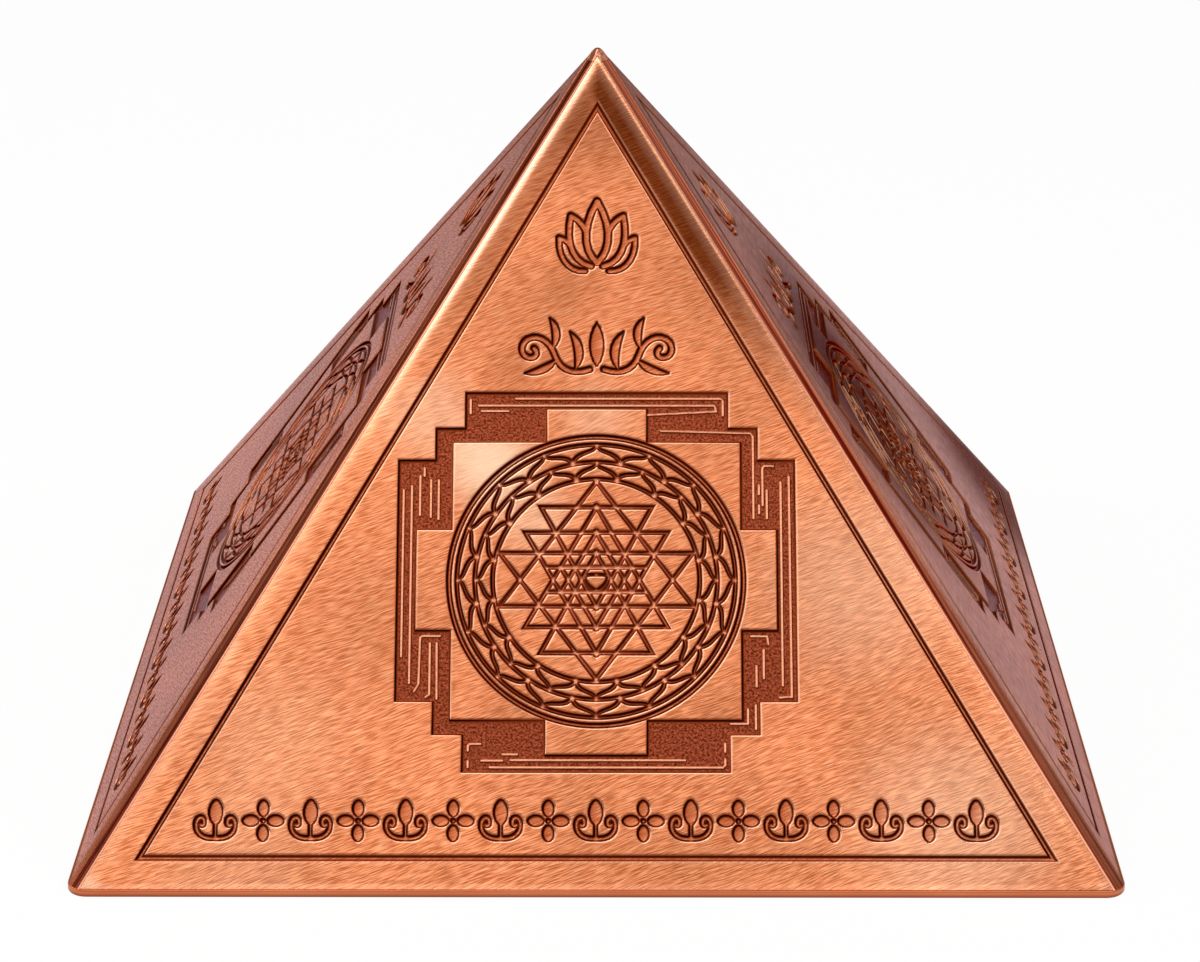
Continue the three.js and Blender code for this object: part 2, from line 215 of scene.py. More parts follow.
# %% Room
room = bpy.data.worlds.new("dim_room")
room.use_nodes = True
tree = room.node_tree
tree.nodes.clear()
room_light = add_node("Background", {"Color": "#B4B0AE", "Strength": 0.45})
add_node("OutputWorld", [room_light])
bpy.context.scene.world = room

# %% Lamps
LAMP_DISTANCE = 600
LAMP_AIM = np.array([0, 0, 30])
LAMPS = {  # azimuth, elevation, width, height and radiance
    "front": (4, 41, 660, 320, 1.3),
    "left": (-62, 60, 420, 260, 1.9),
    "left_middle": (-60, 36, 360, 220, 1.15),
    "left_low": (-84, 14, 360, 170, 2.0),
    "right": (36, 42, 90, 220, 1.0),
    "right_wide": (64, 42, 440, 300, 1.0),
    "right_side": (114, 36, 200, 260, 0.6),
    "top": (0, 92, 460, 400, 1.9),
    "back_left": (-135, 20, 160, 280, 2.4),
    "back_right": (135, 20, 160, 280, 0.8),
}
for name, (azimuth, elevation, width, height, radiance) in LAMPS.items():
    away = direction(azimuth, elevation)
    lamp_data = bpy.data.lights.new(f"{name}_softbox", "AREA")
    lamp_data.shape = "RECTANGLE"
    lamp_data.size, lamp_data.size_y = width * MM, height * MM
    lamp_data.energy = radiance * pi * lamp_data.size * lamp_data.size_y
    lamp = new_object(f"{name}_softbox", lamp_data)
    lamp.location = (LAMP_AIM + away * LAMP_DISTANCE) * MM
    lamp.rotation_euler = Vector(away).to_track_quat("Z", "Y").to_euler()
print("lamps:", len(LAMPS))

# %% [markdown]
# ## Pressed copper
# The plates are soft copper sheet. After pressing they were brushed with a fine wheel, which left short
# satin scratches that rise to the right. Brown patina was then wiped over them and rubbed off again, so it
# stays in the pressed lines. Each vertex of a plate carries its place on the face, how much patina it keeps
# together with painted shade, how much polish it got together with a painted highlight, and whether a punch
# has stippled it. The nodes read these, so the grain follows the face on all four sides.

# %% The grain of the brush
copper, tree = new_material("satin_brushed_pressed_copper")
place = add_node("Attribute", attribute_name="face_place").outputs["Vector"]
patina_and_shade, polish, stipple = (add_node("Attribute", attribute_name=name).outputs["Fac"]
                           for name in ("patina_and_shade", "polish", "stipple"))

# The brush wanders a little, so its lines are bent by up to half a millimetre over some 14 mm
sway = add_node("TexNoise", [place, 1 / 14, 1.0])
sway_centred = add_node("VectorMath", [sway.outputs["Color"], (0.5, 0.5, 0.5)], operation="SUBTRACT")
swayed = add_node("VectorMath", [sway_centred, (1.6, 1.6, 0.0), place], operation="MULTIPLY_ADD")

# Turn, length and width of a noise cell in mm, detail and roughness of scratches, hairs and deeper scratches.
# A line and the gap beside it take two cells, so the scratches lie 0.24 mm apart
GRAIN_RISE = radians(21)
GRAIN_LINES = [(0.0, 1.7, 0.12, 1.0, 0.55), (0.05, 6.0, 0.15, 2.0, 0.6), (0.03, 2.0, 0.075, 1.0, 0.5)]
line_noises = []
for turn, length, width, detail, roughness in GRAIN_LINES:
    line_turn, cell = (0, 0, GRAIN_RISE + turn), (length, width, 1.0)
    line_place = add_node("Mapping", {"Vector": swayed, "Rotation": line_turn, "Scale": cell}, **STRETCHED)
    line_noises.append(add_node("TexNoise", [line_place, 1.0, detail, roughness]))
scratches, hairs, deep_scratches = line_noises
grain = add_node("Mix", [0.12, scratches, hairs], data_type="FLOAT")
grain_spread = add_node("MapRange", [grain, 0.4, 0.6])
deep_share = add_node("MapRange", [deep_scratches, 0.56, 0.72, 0, 0.55])
# Handling leaves clouds some 20 to 40 mm across
clouds = add_node("TexNoise", [place, 1 / 18, 1.5, 0.5])
cloud_tone = add_node("MapRange", [clouds, 0.35, 0.65, 0.82, 1.02])

# %% [markdown]
# ### Painted highlights, painted shade and darker spots
# Some places are painted brighter, as painted highlights, and others browner: on the right side face that is
# painted shade, and on the front face they are darker spots. Each is a soft round spot. Near the tip of the
# front face the margins are painted browner where they start to roll off, a painted shade, and painted bright
# along their edges, a painted highlight, the left one most. Those bands follow the hips, so they are measured
# from the hips.

# %% Painted highlights, painted shade and darker spots
FACE_STEP = 40.0  # the third coordinate of a place on a face, times the number of quarter turns
PAINTED_LIGHT_AND_SPOTS = [  # face, u, v, reach, and how much brighter, where a browner place has a number below zero
    (0, -10.5, 41.5, 7, 0.65), (0, -16.5, 46.5, 8, 0.25), (0, -6, 36, 6, 0.3),
    (0, 26, 30, 16, 0.2), (0, -31, 14, 12, 0.1), (0, 0, 46, 6, 0.2), (0, 34, 6, 16, 0.25),
    (0, -34, 2, 12, 0.1), (0, -48.2, 0.2, 2.4, 0.4), (0, 48.2, 0.2, 2, 0.15), (0, 0, 76, 9, -0.3),
    (0, -3, 59.5, 5.5, -0.25), (0, -8.5, 50.5, 4.5, -0.25), (0, 9, 60, 8, -0.12), (0, -8.5, 16.5, 5, -0.2),
    (0, 1, 29.5, 7, -0.25), (0, 11, 17, 7, -0.25), (0, 0, 14.5, 6, -0.2), (1, -2, 38, 32, -0.9),
    (1, 40, 8, 26, -0.8),
]
painted_light_and_spots = 0.0
# A brighter spot is a painted highlight. A browner one is painted shade on the right side face, and a darker
# spot on the front face
for face, u, v, reach, amount in PAINTED_LIGHT_AND_SPOTS:
    away = add_node("VectorMath", [place, (u, v, FACE_STEP * face)], operation="DISTANCE")
    near = add_node("MapRange", [away, 0.0, reach, amount, 0.0], interpolation_type="SMOOTHERSTEP")
    painted_light_and_spots = add_node("Math", [near, painted_light_and_spots], operation="ADD")

# %% Margins near the tip
EDGE_INSET = 0.83  # from the sharp hip to the plate's edge, measured along the foot
# Each margin gets a browner band, which is painted shade, and a bright edge, which is a painted highlight
MARGIN_TONES = [(-1, -0.42, 0.95, 0.9), (1, -1.0, 0.2, 0.45)]  # side, band, edge, and the edge's width in mm
hip_reach = (foot_half - EDGE_INSET) * sin_base
on_face = add_node("SeparateXYZ", [place])
towards_tip = add_node("MapRange", [on_face.outputs["Y"], 44.0, 66.0], **SMOOTH)
front_only = add_node("MapRange", [on_face.outputs["Z"], 0, FACE_STEP, 1.0, 0.0])
near_tip = add_node("Math", [towards_tip, front_only], **PRODUCT)
for side, band, edge, edge_width in MARGIN_TONES:
    across_hip = (side * sin_base, cos_base, 0)
    towards_hip = add_node("VectorMath", [place, across_hip], operation="DOT_PRODUCT")
    tones = [add_node("MapRange", [towards_hip, hip_reach - start, hip_reach - end, 0, amount], **SMOOTH)
             for start, end, amount in ((3.3, 2.0, band), (edge_width, edge_width / 3, edge - band))]
    both_tones = add_node("Math", tones, operation="ADD")
    own_half = add_node("MapRange", [on_face.outputs["X"], -1.3 * side, 1.1 * side], **SMOOTH)
    own_tip = add_node("Math", [own_half, near_tip], **PRODUCT)
    painted_light_and_spots = add_node("Math", [both_tones, own_tip, painted_light_and_spots], operation="MULTIPLY_ADD")
# Above zero is painted highlight, below zero is painted shade and darker spots
painted_highlight_share = add_node("Math", [painted_light_and_spots, 0.0], operation="MAXIMUM", use_clamp=True)
shade_and_dark_spot_share = add_node("Math", [painted_light_and_spots, -1.0], operation="MULTIPLY", use_clamp=True)

# %% [markdown]
# ### Colour and shine
# The colours lie over one another: the brushed copper, the painted highlights, painted shade and darker
# spots, the stippled floor of the stepped square, the paler polished lips, which are a painted highlight, and
# the patina, with painted shade in it. Patina also makes the copper rougher and polish makes it smoother.
# Seen nearly edge on, real scratches hide one another and clean copper turns a greyish pink, so the bump
# fades with Layer Weight and the specular tint is cooler than the copper.

# %% Satin-brushed copper
# The punch leaves pits a quarter of a millimetre wide
pits = add_node("TexNoise", [place, 1 / 0.24, 2.0, 0.7])
pit_spread = add_node("MapRange", [pits, 0.38, 0.62])
stippled = add_node("Mix", [pit_spread, "#5E200C", "#B05436"], **RGBA)
# Polished places are smoother, and they are also painted paler, which is a painted highlight
polish_highlight_share = add_node("Math", [polish, 0.6], **PRODUCT)
# Thin patina stains the copper red. Where the patina is thickest, on the walls and on the side of a groove
# away from the lamps, it is nearly black, which is painted shade more than patina
stain_and_shade_share = add_node("MapRange", [patina_and_shade, 0, 0.5])
patina_and_shade_depth = add_node("MapRange", [patina_and_shade, 0.3])
stain_and_shade_colour = add_node("Mix", [patina_and_shade_depth, "#A8441E", "#2E0802"], **RGBA)
brushed = add_node("Mix", [grain_spread, "#C56A3E", "#F59A6A"], **RGBA)
scratched = add_node("Mix", [deep_share, brushed, "#FFC298"], **RGBA)
colour = add_node("VectorMath", [scratched, cloud_tone], operation="SCALE")
# Layers: painted highlights, painted shade and darker spots, the stipple, the paler polish, which is a
# painted highlight, and the patina with its painted shade
for share, layer, blend in (
    (painted_highlight_share, "#FFDEBC", "MIX"), (shade_and_dark_spot_share, "#85694D", "MULTIPLY"), (stipple, stippled, "MIX"),
    (polish_highlight_share, "#FFC8A6", "MIX"), (stain_and_shade_share, stain_and_shade_colour, "MIX"),
):
    colour = add_node("Mix", [share, colour, layer], **RGBA, blend_type=blend)
# Where the copper is painted darker, the grazing tint is painted darker with it, a painted shade
clean_tint = add_node("Mix", [shade_and_dark_spot_share, "#D0CBDA", "#705458"], **RGBA)
grazing_tint = add_node("Mix", [patina_and_shade, clean_tint, "#94452C"], **RGBA)

copper_roughness = add_node("MapRange", [grain_spread, 0, 1, 0.4, 0.3])
for share, roughness in ((polish, 0.17), (patina_and_shade, 0.5)):
    copper_roughness = add_node("Mix", [share, copper_roughness, roughness], data_type="FLOAT")
edge_on = add_node("LayerWeight", {"Blend": 0.5}).outputs["Facing"]
seen_strength = add_node("MapRange", [edge_on, 0.3, 0.72, 1.0, 0.1])
polished_strength = add_node("MapRange", [polish, 0, 1, 1.0, 0.15])
grain_strength = add_node("Math", [seen_strength, polished_strength], **PRODUCT)
grain_bump = add_node("Bump", {"Height": grain, "Strength": grain_strength, "Distance": 0.03 * MM})
pit_height = add_node("Math", [pits, stipple], **PRODUCT)
pit_bump = add_node("Bump", {
    "Height": pit_height, "Strength": 1.0, "Distance": 0.12 * MM, "Normal": grain_bump,
})
shader = add_node("BsdfPrincipled", {
    "Base Color": colour, "Metallic": 1.0, "Roughness": copper_roughness, "Normal": pit_bump,
    "Specular Tint": grazing_tint,
})
add_node("OutputMaterial", [shader])

# %% [markdown]
# ## Drawing the pattern
# A groove that a press leaves has soft lips, leaning walls and a flat floor. Carving it with booleans gives
# none of these. Instead the pattern is drawn as a field of distances on a fine grid: each point of the grid
# knows how far it is from the nearest edge of a groove, and is negative inside one. Lines of equal distance
# then become the lips, the walls and the floors, however the grooves cross one another.

# %% The grid
STEP = 0.05
GRID_LOW = np.array([-46.0, 1.0])
GRID_HIGH = np.array([46.0, 80.0])
grid_u, grid_v = (np.arange(low, high + STEP / 2, STEP) for low, high in zip(GRID_LOW, GRID_HIGH))
edge_distance = np.full((len(grid_v), len(grid_u)), 1.0)
crossings = np.full_like(edge_distance, -1.0)
print("grid of", edge_distance.shape, "points")


def window(points, reach):
    """The rows and columns of the grid around some points, and their u and v"""
    low = np.floor((np.min(points, axis=0) - reach - GRID_LOW) / STEP).astype(int)
    high = np.ceil((np.max(points, axis=0) + reach - GRID_LOW) / STEP).astype(int) + 1
    rows, columns = slice(max(low[1], 0), high[1]), slice(max(low[0], 0), high[0])
    return rows, columns, grid_u[None, columns], grid_v[rows, None]


def segment_distance(a, b, u, v):
    """How far each point is from a straight line, and how far along it the nearest point lies"""
    along = b - a
    t = np.clip(((u - a[0]) * along[0] + (v - a[1]) * along[1]) / max(along @ along, 1e-12), 0, 1)
    return np.hypot(u - a[0] - t * along[0], v - a[1] - t * along[1]), t


# %% Pressing lines and outlines
LIP_REACH = 0.35
MITRE = 0.3  # how far the sharp corners of an outline reach past its straight sides


def nothing_near(u, v):
    return np.full(np.broadcast_shapes(u.shape, v.shape), np.inf)


def press(rows, columns, distance, field=edge_distance):
    """Adds a groove to a field, and notes where it crosses a groove that is there already"""
    before = field[rows, columns]
    overlap = np.minimum(-before, -distance)
    crossings[rows, columns] = np.maximum(crossings[rows, columns], overlap)
    field[rows, columns] = np.where(overlap > 0, -np.hypot(before, distance), np.minimum(before, distance))


def press_line(points, width, field=edge_distance):
    """A groove along a run of points. The width is one number, or one for each point"""
    points = np.asarray(points, dtype=float)
    widths = np.broadcast_to(width, len(points))
    rows, columns, u, v = window(points, LIP_REACH + np.max(widths) / 2)
    nearest = nothing_near(u, v)
    for i in range(len(points) - 1):
        distance, t = segment_distance(points[i], points[i + 1], u, v)
        nearest = np.minimum(nearest, distance - (widths[i] + (widths[i + 1] - widths[i]) * t) / 2)
    press(rows, columns, nearest, field)


def press_dot(centre, width):
    press_line([centre, centre + [0.01, 0]], width)


def press_mirrored(points, width, centre=(0, 0)):
    """A line and its mirror image, moved to a centre"""
    for side in (1, -1):
        press_line(np.asarray(points) * [side, 1] + centre, width)


def press_outline(corners, width):
    """A groove round a convex outline, which runs anticlockwise"""
    corners = np.asarray(corners, dtype=float)
    rows, columns, u, v = window(corners, LIP_REACH + 3 * width)
    nearest = nothing_near(u, v)
    beyond = -nearest
    for a, b in zip(corners, np.roll(corners, -1, axis=0)):
        along = (b - a) / np.linalg.norm(b - a)
        beyond = np.maximum(beyond, (u - a[0]) * along[1] - (v - a[1]) * along[0])
        nearest = np.minimum(nearest, segment_distance(a, b, u, v)[0])
    outer = np.maximum(beyond, nearest - MITRE)
    press(rows, columns, np.where(beyond > 0, outer, -beyond) - width / 2)


def press_ring(centre, radius, width):
    rows, columns, u, v = window([centre], radius + width + LIP_REACH)
    press(rows, columns, np.abs(np.hypot(u - centre[0], v - centre[1]) - radius) - width / 2)


def curve(*points, steps=7):
    """Points along a run of Bezier curves: a start, then two handles and an end for each curve"""
    points = np.asarray(points, dtype=float)
    run = [points[:1]]
    t = np.linspace(0, 1, steps + 1)[1:, None]
    for i in range(0, len(points) - 1, 3):
        a, b, c, d = points[i:i + 4]
        run.append((1 - t) ** 3 * a + 3 * (1 - t) ** 2 * t * b + 3 * (1 - t) * t ** 2 * c + t ** 3 * d)
    return np.concatenate(run)


# %% [markdown]
# ### Border and star
# One line runs round the whole face, parallel to its edges. In the middle stands the Sri Yantra, a
# traditional figure of nine triangles that cross one another. Apart from the very middle it is its own
# mirror image up and down, so each size of triangle is pressed twice, once upright and once upside down. A
# dot opens each point of the star a little, as the punch did.

# %% Border line
BORDER_LINE = 0.5
BORDER_FOOT, BORDER_HIP, BORDER_TIP = 3, 4.3, 6.8  # how far it stays from the foot, the hips and the tip
border_half = foot_half - BORDER_FOOT / tan(base_angle) - BORDER_HIP / sin_base
press_outline([[-border_half, BORDER_FOOT], [border_half, BORDER_FOOT], [0, slant - BORDER_TIP]], BORDER_LINE)

# %% The star
middle = np.array([0, 29.85])
YANTRA_LINE = 0.42
POINT_DOT = 0.62
# Half width of the base, level of the base and level of the point, all from the middle
STAR = [(9.34, 2.62, 9.70), (6.85, 4.64, 7.17), (5.35, 7.17, 2.62), (3.40, 1.21, 4.64)]
for half, base_level, point_level in STAR:
    upright = np.array([[-half, -base_level], [half, -base_level], [0, point_level]])
    press_outline(upright + middle, YANTRA_LINE)
    press_outline((upright * [1, -1])[::-1] + middle, YANTRA_LINE)
    for way in (1, -1):
        press_dot(middle + [0, way * (point_level + 0.1)], POINT_DOT)
for level in (1.21, -1.21):
    press_line(middle + [[-4.75, level], [4.75, level]], YANTRA_LINE)

# %% The drop in the middle
DROP_LINE = 0.3
drop_side = curve((0, 0.5), (0.5, 0.5), (1.15, 0.55), (1.1, 0.15), (1.0, -0.35), (0.5, -0.8), (0, -1.05))
press_mirrored(drop_side, DROP_LINE, middle)

# %% [markdown]
# ### Rings and lotus petals
# Two rings of sixteen petals stand between plain rings. A petal's side swings out from the valley between
# two petals and runs up to the tip, so it is drawn once as a curve of angle and radius and then repeated.

# %% Rings
OUTER_RING, RINGS = 14.2, (13.42, 11.68, 9.98)
press_ring(middle, OUTER_RING, 0.5)
for radius in RINGS:
    press_ring(middle, radius, YANTRA_LINE)

# %% Lotus petals
PETALS = 16
petal_side = curve((0, 1), (0.05, 0.45), (0.85, 0.70), (1, 0), steps=9)
for outer, inner in zip(RINGS, RINGS[1:]):
    for petal in range(PETALS):
        for side in (1, -1):
            angle = (petal + side * petal_side[:, 0] / 2) * 2 * pi / PETALS
            radius = inner + (outer - inner) * petal_side[:, 1]
            press_line(middle + np.stack([radius * np.sin(angle), radius * np.cos(angle)], axis=1),
                       np.linspace(0.32, 0.46, len(angle)))
# Where grooves of the yantra cross, the copper keeps less patina and painted shade, and gets some polish with
# its painted highlight
crossings[np.hypot(grid_u[None, :] - middle[0], grid_v[:, None] - middle[1]) > OUTER_RING + 0.2] = -1
yantra_crossings = crossings.copy()

# %% [markdown]
# ### The stepped square
# Round the rings runs a broad band with a gate in each side. It is pressed as one wide recess, with thin
# ridges left standing in it. A ridge is the opposite of a groove, so it is drawn into a field of its own
# and then cut out of the band. The ridges are not quite alike from corner to corner, as in the real die.

# %% Stepped square
SQUARE_OUTER = [[12.8, 18.7], [12.8, 15.1], [15.65, 15.1], [15.65, 11.9], [19.25, 11.9]]
SQUARE_INNER = [[4.85, 17], [4.85, 13.65], [13.95, 13.65], [13.95, 4.93], [17.4, 4.93]]
RIDGES = [  # the u and v of each point in turn, from the middle
    [-7.9, 18.1, 12.1, 18.1, 12.3, 17.9, 12.3, 16.4], [-12.3, 16.6, -12.3, 18],
    [-11.5, 17.4, 11.5, 17.4, 11.65, 16.8, 5, 16.45], [-11.2, 16.85, -8.6, 16.85],
    [6.25, 14.85, 13.2, 14.65, 15, 14.6, 15.2, 14.3, 15.2, 6.1],
    [17.15, 11.3, 16.3, 11.35, 16.1, 11.1, 16.1, 7.4], [15.75, 9.4, 15.75, 8.5], [15.75, 7.4, 15.75, 6.6],
    [16.5, 8.9, 16.5, 6.1], [17.85, 9.7, 17.85, -10.3], [18.65, 10.3, 18.7, -11.4, 17.55, -11.45],
    [14.85, -5.5, 16.4, -5.5, 16.5, -6.3], [15.35, -8.4, 15.35, -10.4], [16.05, -6.8, 16.05, -9.6],
    [15.25, -12.2, 15.25, -14.5], [14.5, -12.6, 14.5, -14, 12.85, -14],
    [-10.1, -18.2, 12.1, -18.2, 12.3, -18, 12.3, -17.4], [12.3, -15.9, 12.3, -16.7],
    [-8.1, -17.5, 8.5, -17.5], [-10.9, -17.55, -8.9, -17.55], [-8.9, -16.95, -7.5, -16.95],
    [-11, -15.95, -12, -15.95, -12.2, -16.15, -12.2, -16.6], [-12.2, -17.6, -12.2, -18.2],
    [-18.7, 8.9, -18.7, -7.5], [-17.9, 9.3, -17.9, -10.1],
    [-15, -5.5, -16.7, -5.5, -16.9, -5.7, -17, -10.2, -17.4, -10.9],
    [-15.95, -6.2, -15.95, -11.2, -16.3, -11.45], [-15.3, -6.2, -15.25, -11.6], [-17.1, 10.3, -17.1, 6.4],
    [-16.7, 11.1, -16.7, 10.3], [-16.05, 9.9, -16.05, 6.2], [-15.3, 9.9, -15.3, 6],
]
RIDGE_WIDTH = 0.1
RIDGE_STEEPNESS = 1.6
RIDGE_TOP = -0.02


def quartered(quarter):
    """A whole outline from the corners of its upper right quarter"""
    upper = np.array(quarter)
    lower = upper[::-1] * [1, -1]
    return np.concatenate([upper, lower, -upper, -lower]) + middle


def outline_distance(corners, u, v):
    """The distance from a closed outline, negative inside it"""
    nearest = nothing_near(u, v)
    inside = nearest < 0
    for a, b in zip(corners, np.roll(corners, -1, axis=0)):
        nearest = np.minimum(nearest, segment_distance(a, b, u, v)[0])
        if a[1] != b[1]:
            inside ^= (u < a[0] + (v - a[1]) * (b[0] - a[0]) / (b[1] - a[1])) & ((a[1] > v) != (b[1] > v))
    return np.where(inside, -nearest, nearest)


ridge_distance = np.full_like(edge_distance, 1.0)
for ridge in RIDGES:
    press_line(np.reshape(ridge, (-1, 2)) + middle, RIDGE_WIDTH, ridge_distance)
outer_corners, inner_corners = quartered(SQUARE_OUTER), quartered(SQUARE_INNER)
rows, columns, u, v = window(outer_corners, LIP_REACH)
band_distance = np.full_like(edge_distance, 1.0)
band_distance[rows, columns] = np.maximum(
    outline_distance(outer_corners, u, v), -outline_distance(inner_corners, u, v))
ridges_cut_out = np.maximum(band_distance, np.minimum(-RIDGE_STEEPNESS * ridge_distance, RIDGE_TOP))
np.minimum(edge_distance, ridges_cut_out, out=edge_distance)

# %% [markdown]
# ### Ornaments
# Above the yantra stand a lotus in profile and a leaf scroll with a bud, and a frieze of lotus buds and
# four-petalled flowers runs along the foot. They are common motifs of this metalwork. Each is a handful of
# curves, drawn on one side and mirrored.

# %% Lotus and leaf scroll


def leaf(points, widest):
    """The widths of a solid leaf along its points, narrow at both ends"""
    return 0.25 + (widest - 0.25) * np.sin(np.linspace(0, pi, len(points))) ** 0.8


LOTUS = [
    (curve((0, 61.9), (1.3, 62.9), (1.6, 65.6), (0, 68.2)), 0.8),
    (curve((0.6, 61.5), (2.6, 61.9), (3.1, 64.3), (2.6, 66.7), (1.95, 66.4), (1.5, 65.9), (1.2, 65.3)), 0.74),
    (curve((1.2, 61), (2.6, 60.8), (3.9, 62.2), (3.75, 64.4), (3.35, 64.3), (3, 64.1), (2.75, 63.8)), 0.68),
]
STEM = curve((0.7, 50.9), (2.4, 50.3), (3.6, 50.9), (4.1, 52.3), (4.5, 53.7), (5.7, 54.6), (6.8, 54.0),
             (7.7, 53.4), (7.4, 52.1), (6.5, 52.1), (5.9, 52.1), (5.75, 52.75), (6.15, 53.05))
for line, width in LOTUS + [(STEM, 0.7)]:
    press_mirrored(line, width)
SCROLL_LEAVES = [
    (curve((2.1, 50.95), (1.5, 52.3), (1.7, 53.6), (2.6, 54.7)), 1.0),
    (curve((4.35, 53.0), (3.8, 54.2), (3.9, 55.2), (4.6, 56.1)), 0.9),
    (curve((4.0, 51.9), (4.7, 51.1), (5.6, 50.6), (7.0, 50.5)), 0.9),
]
for spine, widest in SCROLL_LEAVES:
    press_mirrored(spine, leaf(spine, widest))
bud_spine = curve((0, 51.3), (0, 52.7), (0, 54.1), (0, 55.6))
press_line(bud_spine, leaf(bud_spine, 1.5))

# %% Frieze
FRIEZE_V = 6.55
FRIEZE_PITCH = 4.5
FRIEZE_LINE = 0.56
BUD = curve((0, -0.3), (0, 0.4), (0, 1.2), (0, 1.95))
VOLUTE = curve((0, -1.65), (1.0, -1.8), (1.9, -1.3), (1.85, -0.3), (1.8, 0.5), (1.05, 0.5), (1.1, -0.15),
               (1.12, -0.4), (1.3, -0.5), (1.45, -0.35))
PETAL = curve((0, 0.5), (0, 0.95), (0, 1.4), (0, 1.85))
for number in range(-8, 9):
    centre = np.array([number * FRIEZE_PITCH, FRIEZE_V])
    if number % 2:
        press_dot(centre, FRIEZE_LINE)
        for quarter in ([[1, 0], [0, 1]], [[0, 1], [1, 0]], [[1, 0], [0, -1]], [[0, -1], [-1, 0]]):
            press_line(PETAL @ quarter + centre, leaf(PETAL, 1.2))
    else:
        press_line(BUD + centre, leaf(BUD, 1.45))
        press_line(centre + [[0, -0.3], [0, -1.65]], 0.45)
        press_mirrored(VOLUTE, FRIEZE_LINE, centre)
print(f"{(edge_distance < 0).mean():.1%} of the grid is pressed in")

# %% [markdown]
# ## From the field to a mesh
# A regular mesh fine enough for these lines would need millions of faces. Contours need far fewer: a line
# of equal distance is level, so it can have long straight steps where it is straight. Each level is traced
# round the grid, thinned until no point can go without moving the line by 5 micrometres, and then all of
# them are triangulated together with the outline of the plate.

# %% Levels of the relief
LEVELS = np.array([  # distance from the groove's edge, height, patina with painted shade, slope that the light sees
    [-0.280, -0.360, 0.32, 0.00],
    [-0.225, -0.358, 0.36, 0.25],
    [-0.150, -0.318, 0.56, 1.00],
    [-0.100, -0.260, 0.92, 1.30],
    [-0.050, -0.192, 1.00, 1.40],
    [0.000, -0.125, 0.90, 1.10],
    [0.050, -0.083, 0.45, 0.72],
    [0.110, -0.047, 0.16, 0.40],
    [0.170, -0.022, 0.07, 0.20],
    [0.240, -0.005, 0.02, 0.07],
    [0.310, 0.000, 0.00, 0.00],
])
SLACK = 0.005


def contour_points(field, level):
    """Where the contour crosses the lines of the grid, and which crossings are neighbours"""
    high = field > level
    size = field.size
    numbers = np.arange(size).reshape(field.shape)
    below, right = numbers[:-1, :-1], size + numbers[:-1, 1:]
    above, left = numbers[1:, :-1], size + numbers[:-1, :-1]
    case = high[:-1, :-1] * 1 + high[:-1, 1:] * 2 + high[1:, 1:] * 4 + high[1:, :-1] * 8
    pairs = []
    for first, second, cases in (
        (left, below, (1, 14, 5)), (below, right, (2, 13, 10)), (right, above, (4, 11, 5)),
        (above, left, (8, 7, 10)), (left, right, (3, 12)), (below, above, (6, 9)),
    ):
        chosen = np.isin(case, cases)
        pairs.append(np.stack([first[chosen], second[chosen]], axis=1))
    pairs = np.concatenate(pairs)
    crossed = np.unique(pairs)
    upright = crossed >= size
    row, column = np.divmod(crossed - size * upright, field.shape[1])
    near = field[row, column]
    part = (level - near) / (field[row + upright, column + ~upright] - near)
    points = np.stack([grid_u[column] + STEP * part * ~upright, grid_v[row] + STEP * part * upright], axis=1)
    return points, np.searchsorted(crossed, pairs)


def closed_runs(points, pairs):
    """The crossings in order, one run for each closed contour"""
    order = np.argsort(pairs.ravel(), kind="stable")
    other = pairs[:, ::-1].ravel()[order].reshape(-1, 2).tolist()
    used = [False] * len(points)
    for start in range(len(points)):
        run, here = [], start
        while not used[here]:
            used[here] = True
            run.append(here)
            here = other[here][1] if used[other[here][0]] else other[here][0]
        if run:
            yield points[run]


def thinned(run):
    """Drops each point that the line can lose without moving by more than the slack"""
    points = run.tolist()
    corner = int(np.argmax(run @ [1.0, 0.37]))
    points = points[corner:] + points[:corner + 1]
    kept, last, heading = [points[0]], points[0], None
    for point in points[1:]:
        if hypot(point[0] - kept[-1][0], point[1] - kept[-1][1]) < 1e-9:
            continue
        if heading is not None:
            turn = (atan2(point[1] - kept[-1][1], point[0] - kept[-1][0]) - heading + pi) % (2 * pi) - pi
            if not low <= turn <= high:
                kept.append(last)
                heading = None
        du, dv = point[0] - kept[-1][0], point[1] - kept[-1][1]
        spread = asin(min(SLACK / hypot(du, dv), 1.0))
        if heading is None:
            heading, low, high = atan2(dv, du), -spread, spread
        else:
            low, high = max(low, turn - spread), min(high, turn + spread)
        last = point
    return kept


# %% Trace every level
contours = []
for level in LEVELS[:, 0]:
    runs = [thinned(run) for run in closed_runs(*contour_points(edge_distance, level)) if len(run) > 8]
    contours += [run for run in runs if len(run) > 2]
    print(f"level {level:+.2f} mm: {len(runs)} contours, {sum(map(len, runs))} points")

# %% [markdown]
# ### The plate's outline and margins
# A plate is mitred along both hips, so that it meets the strip between two faces, and its margin rolls down
# a little before it gets there. That roll is what catches the light as a long bright line, so the light
# sees it steeper than the mesh is. The margin gets its own lines, parallel to the hips, and the roll's
# height is known along each of them. The foot rolls down in the same way, but within half a millimetre.

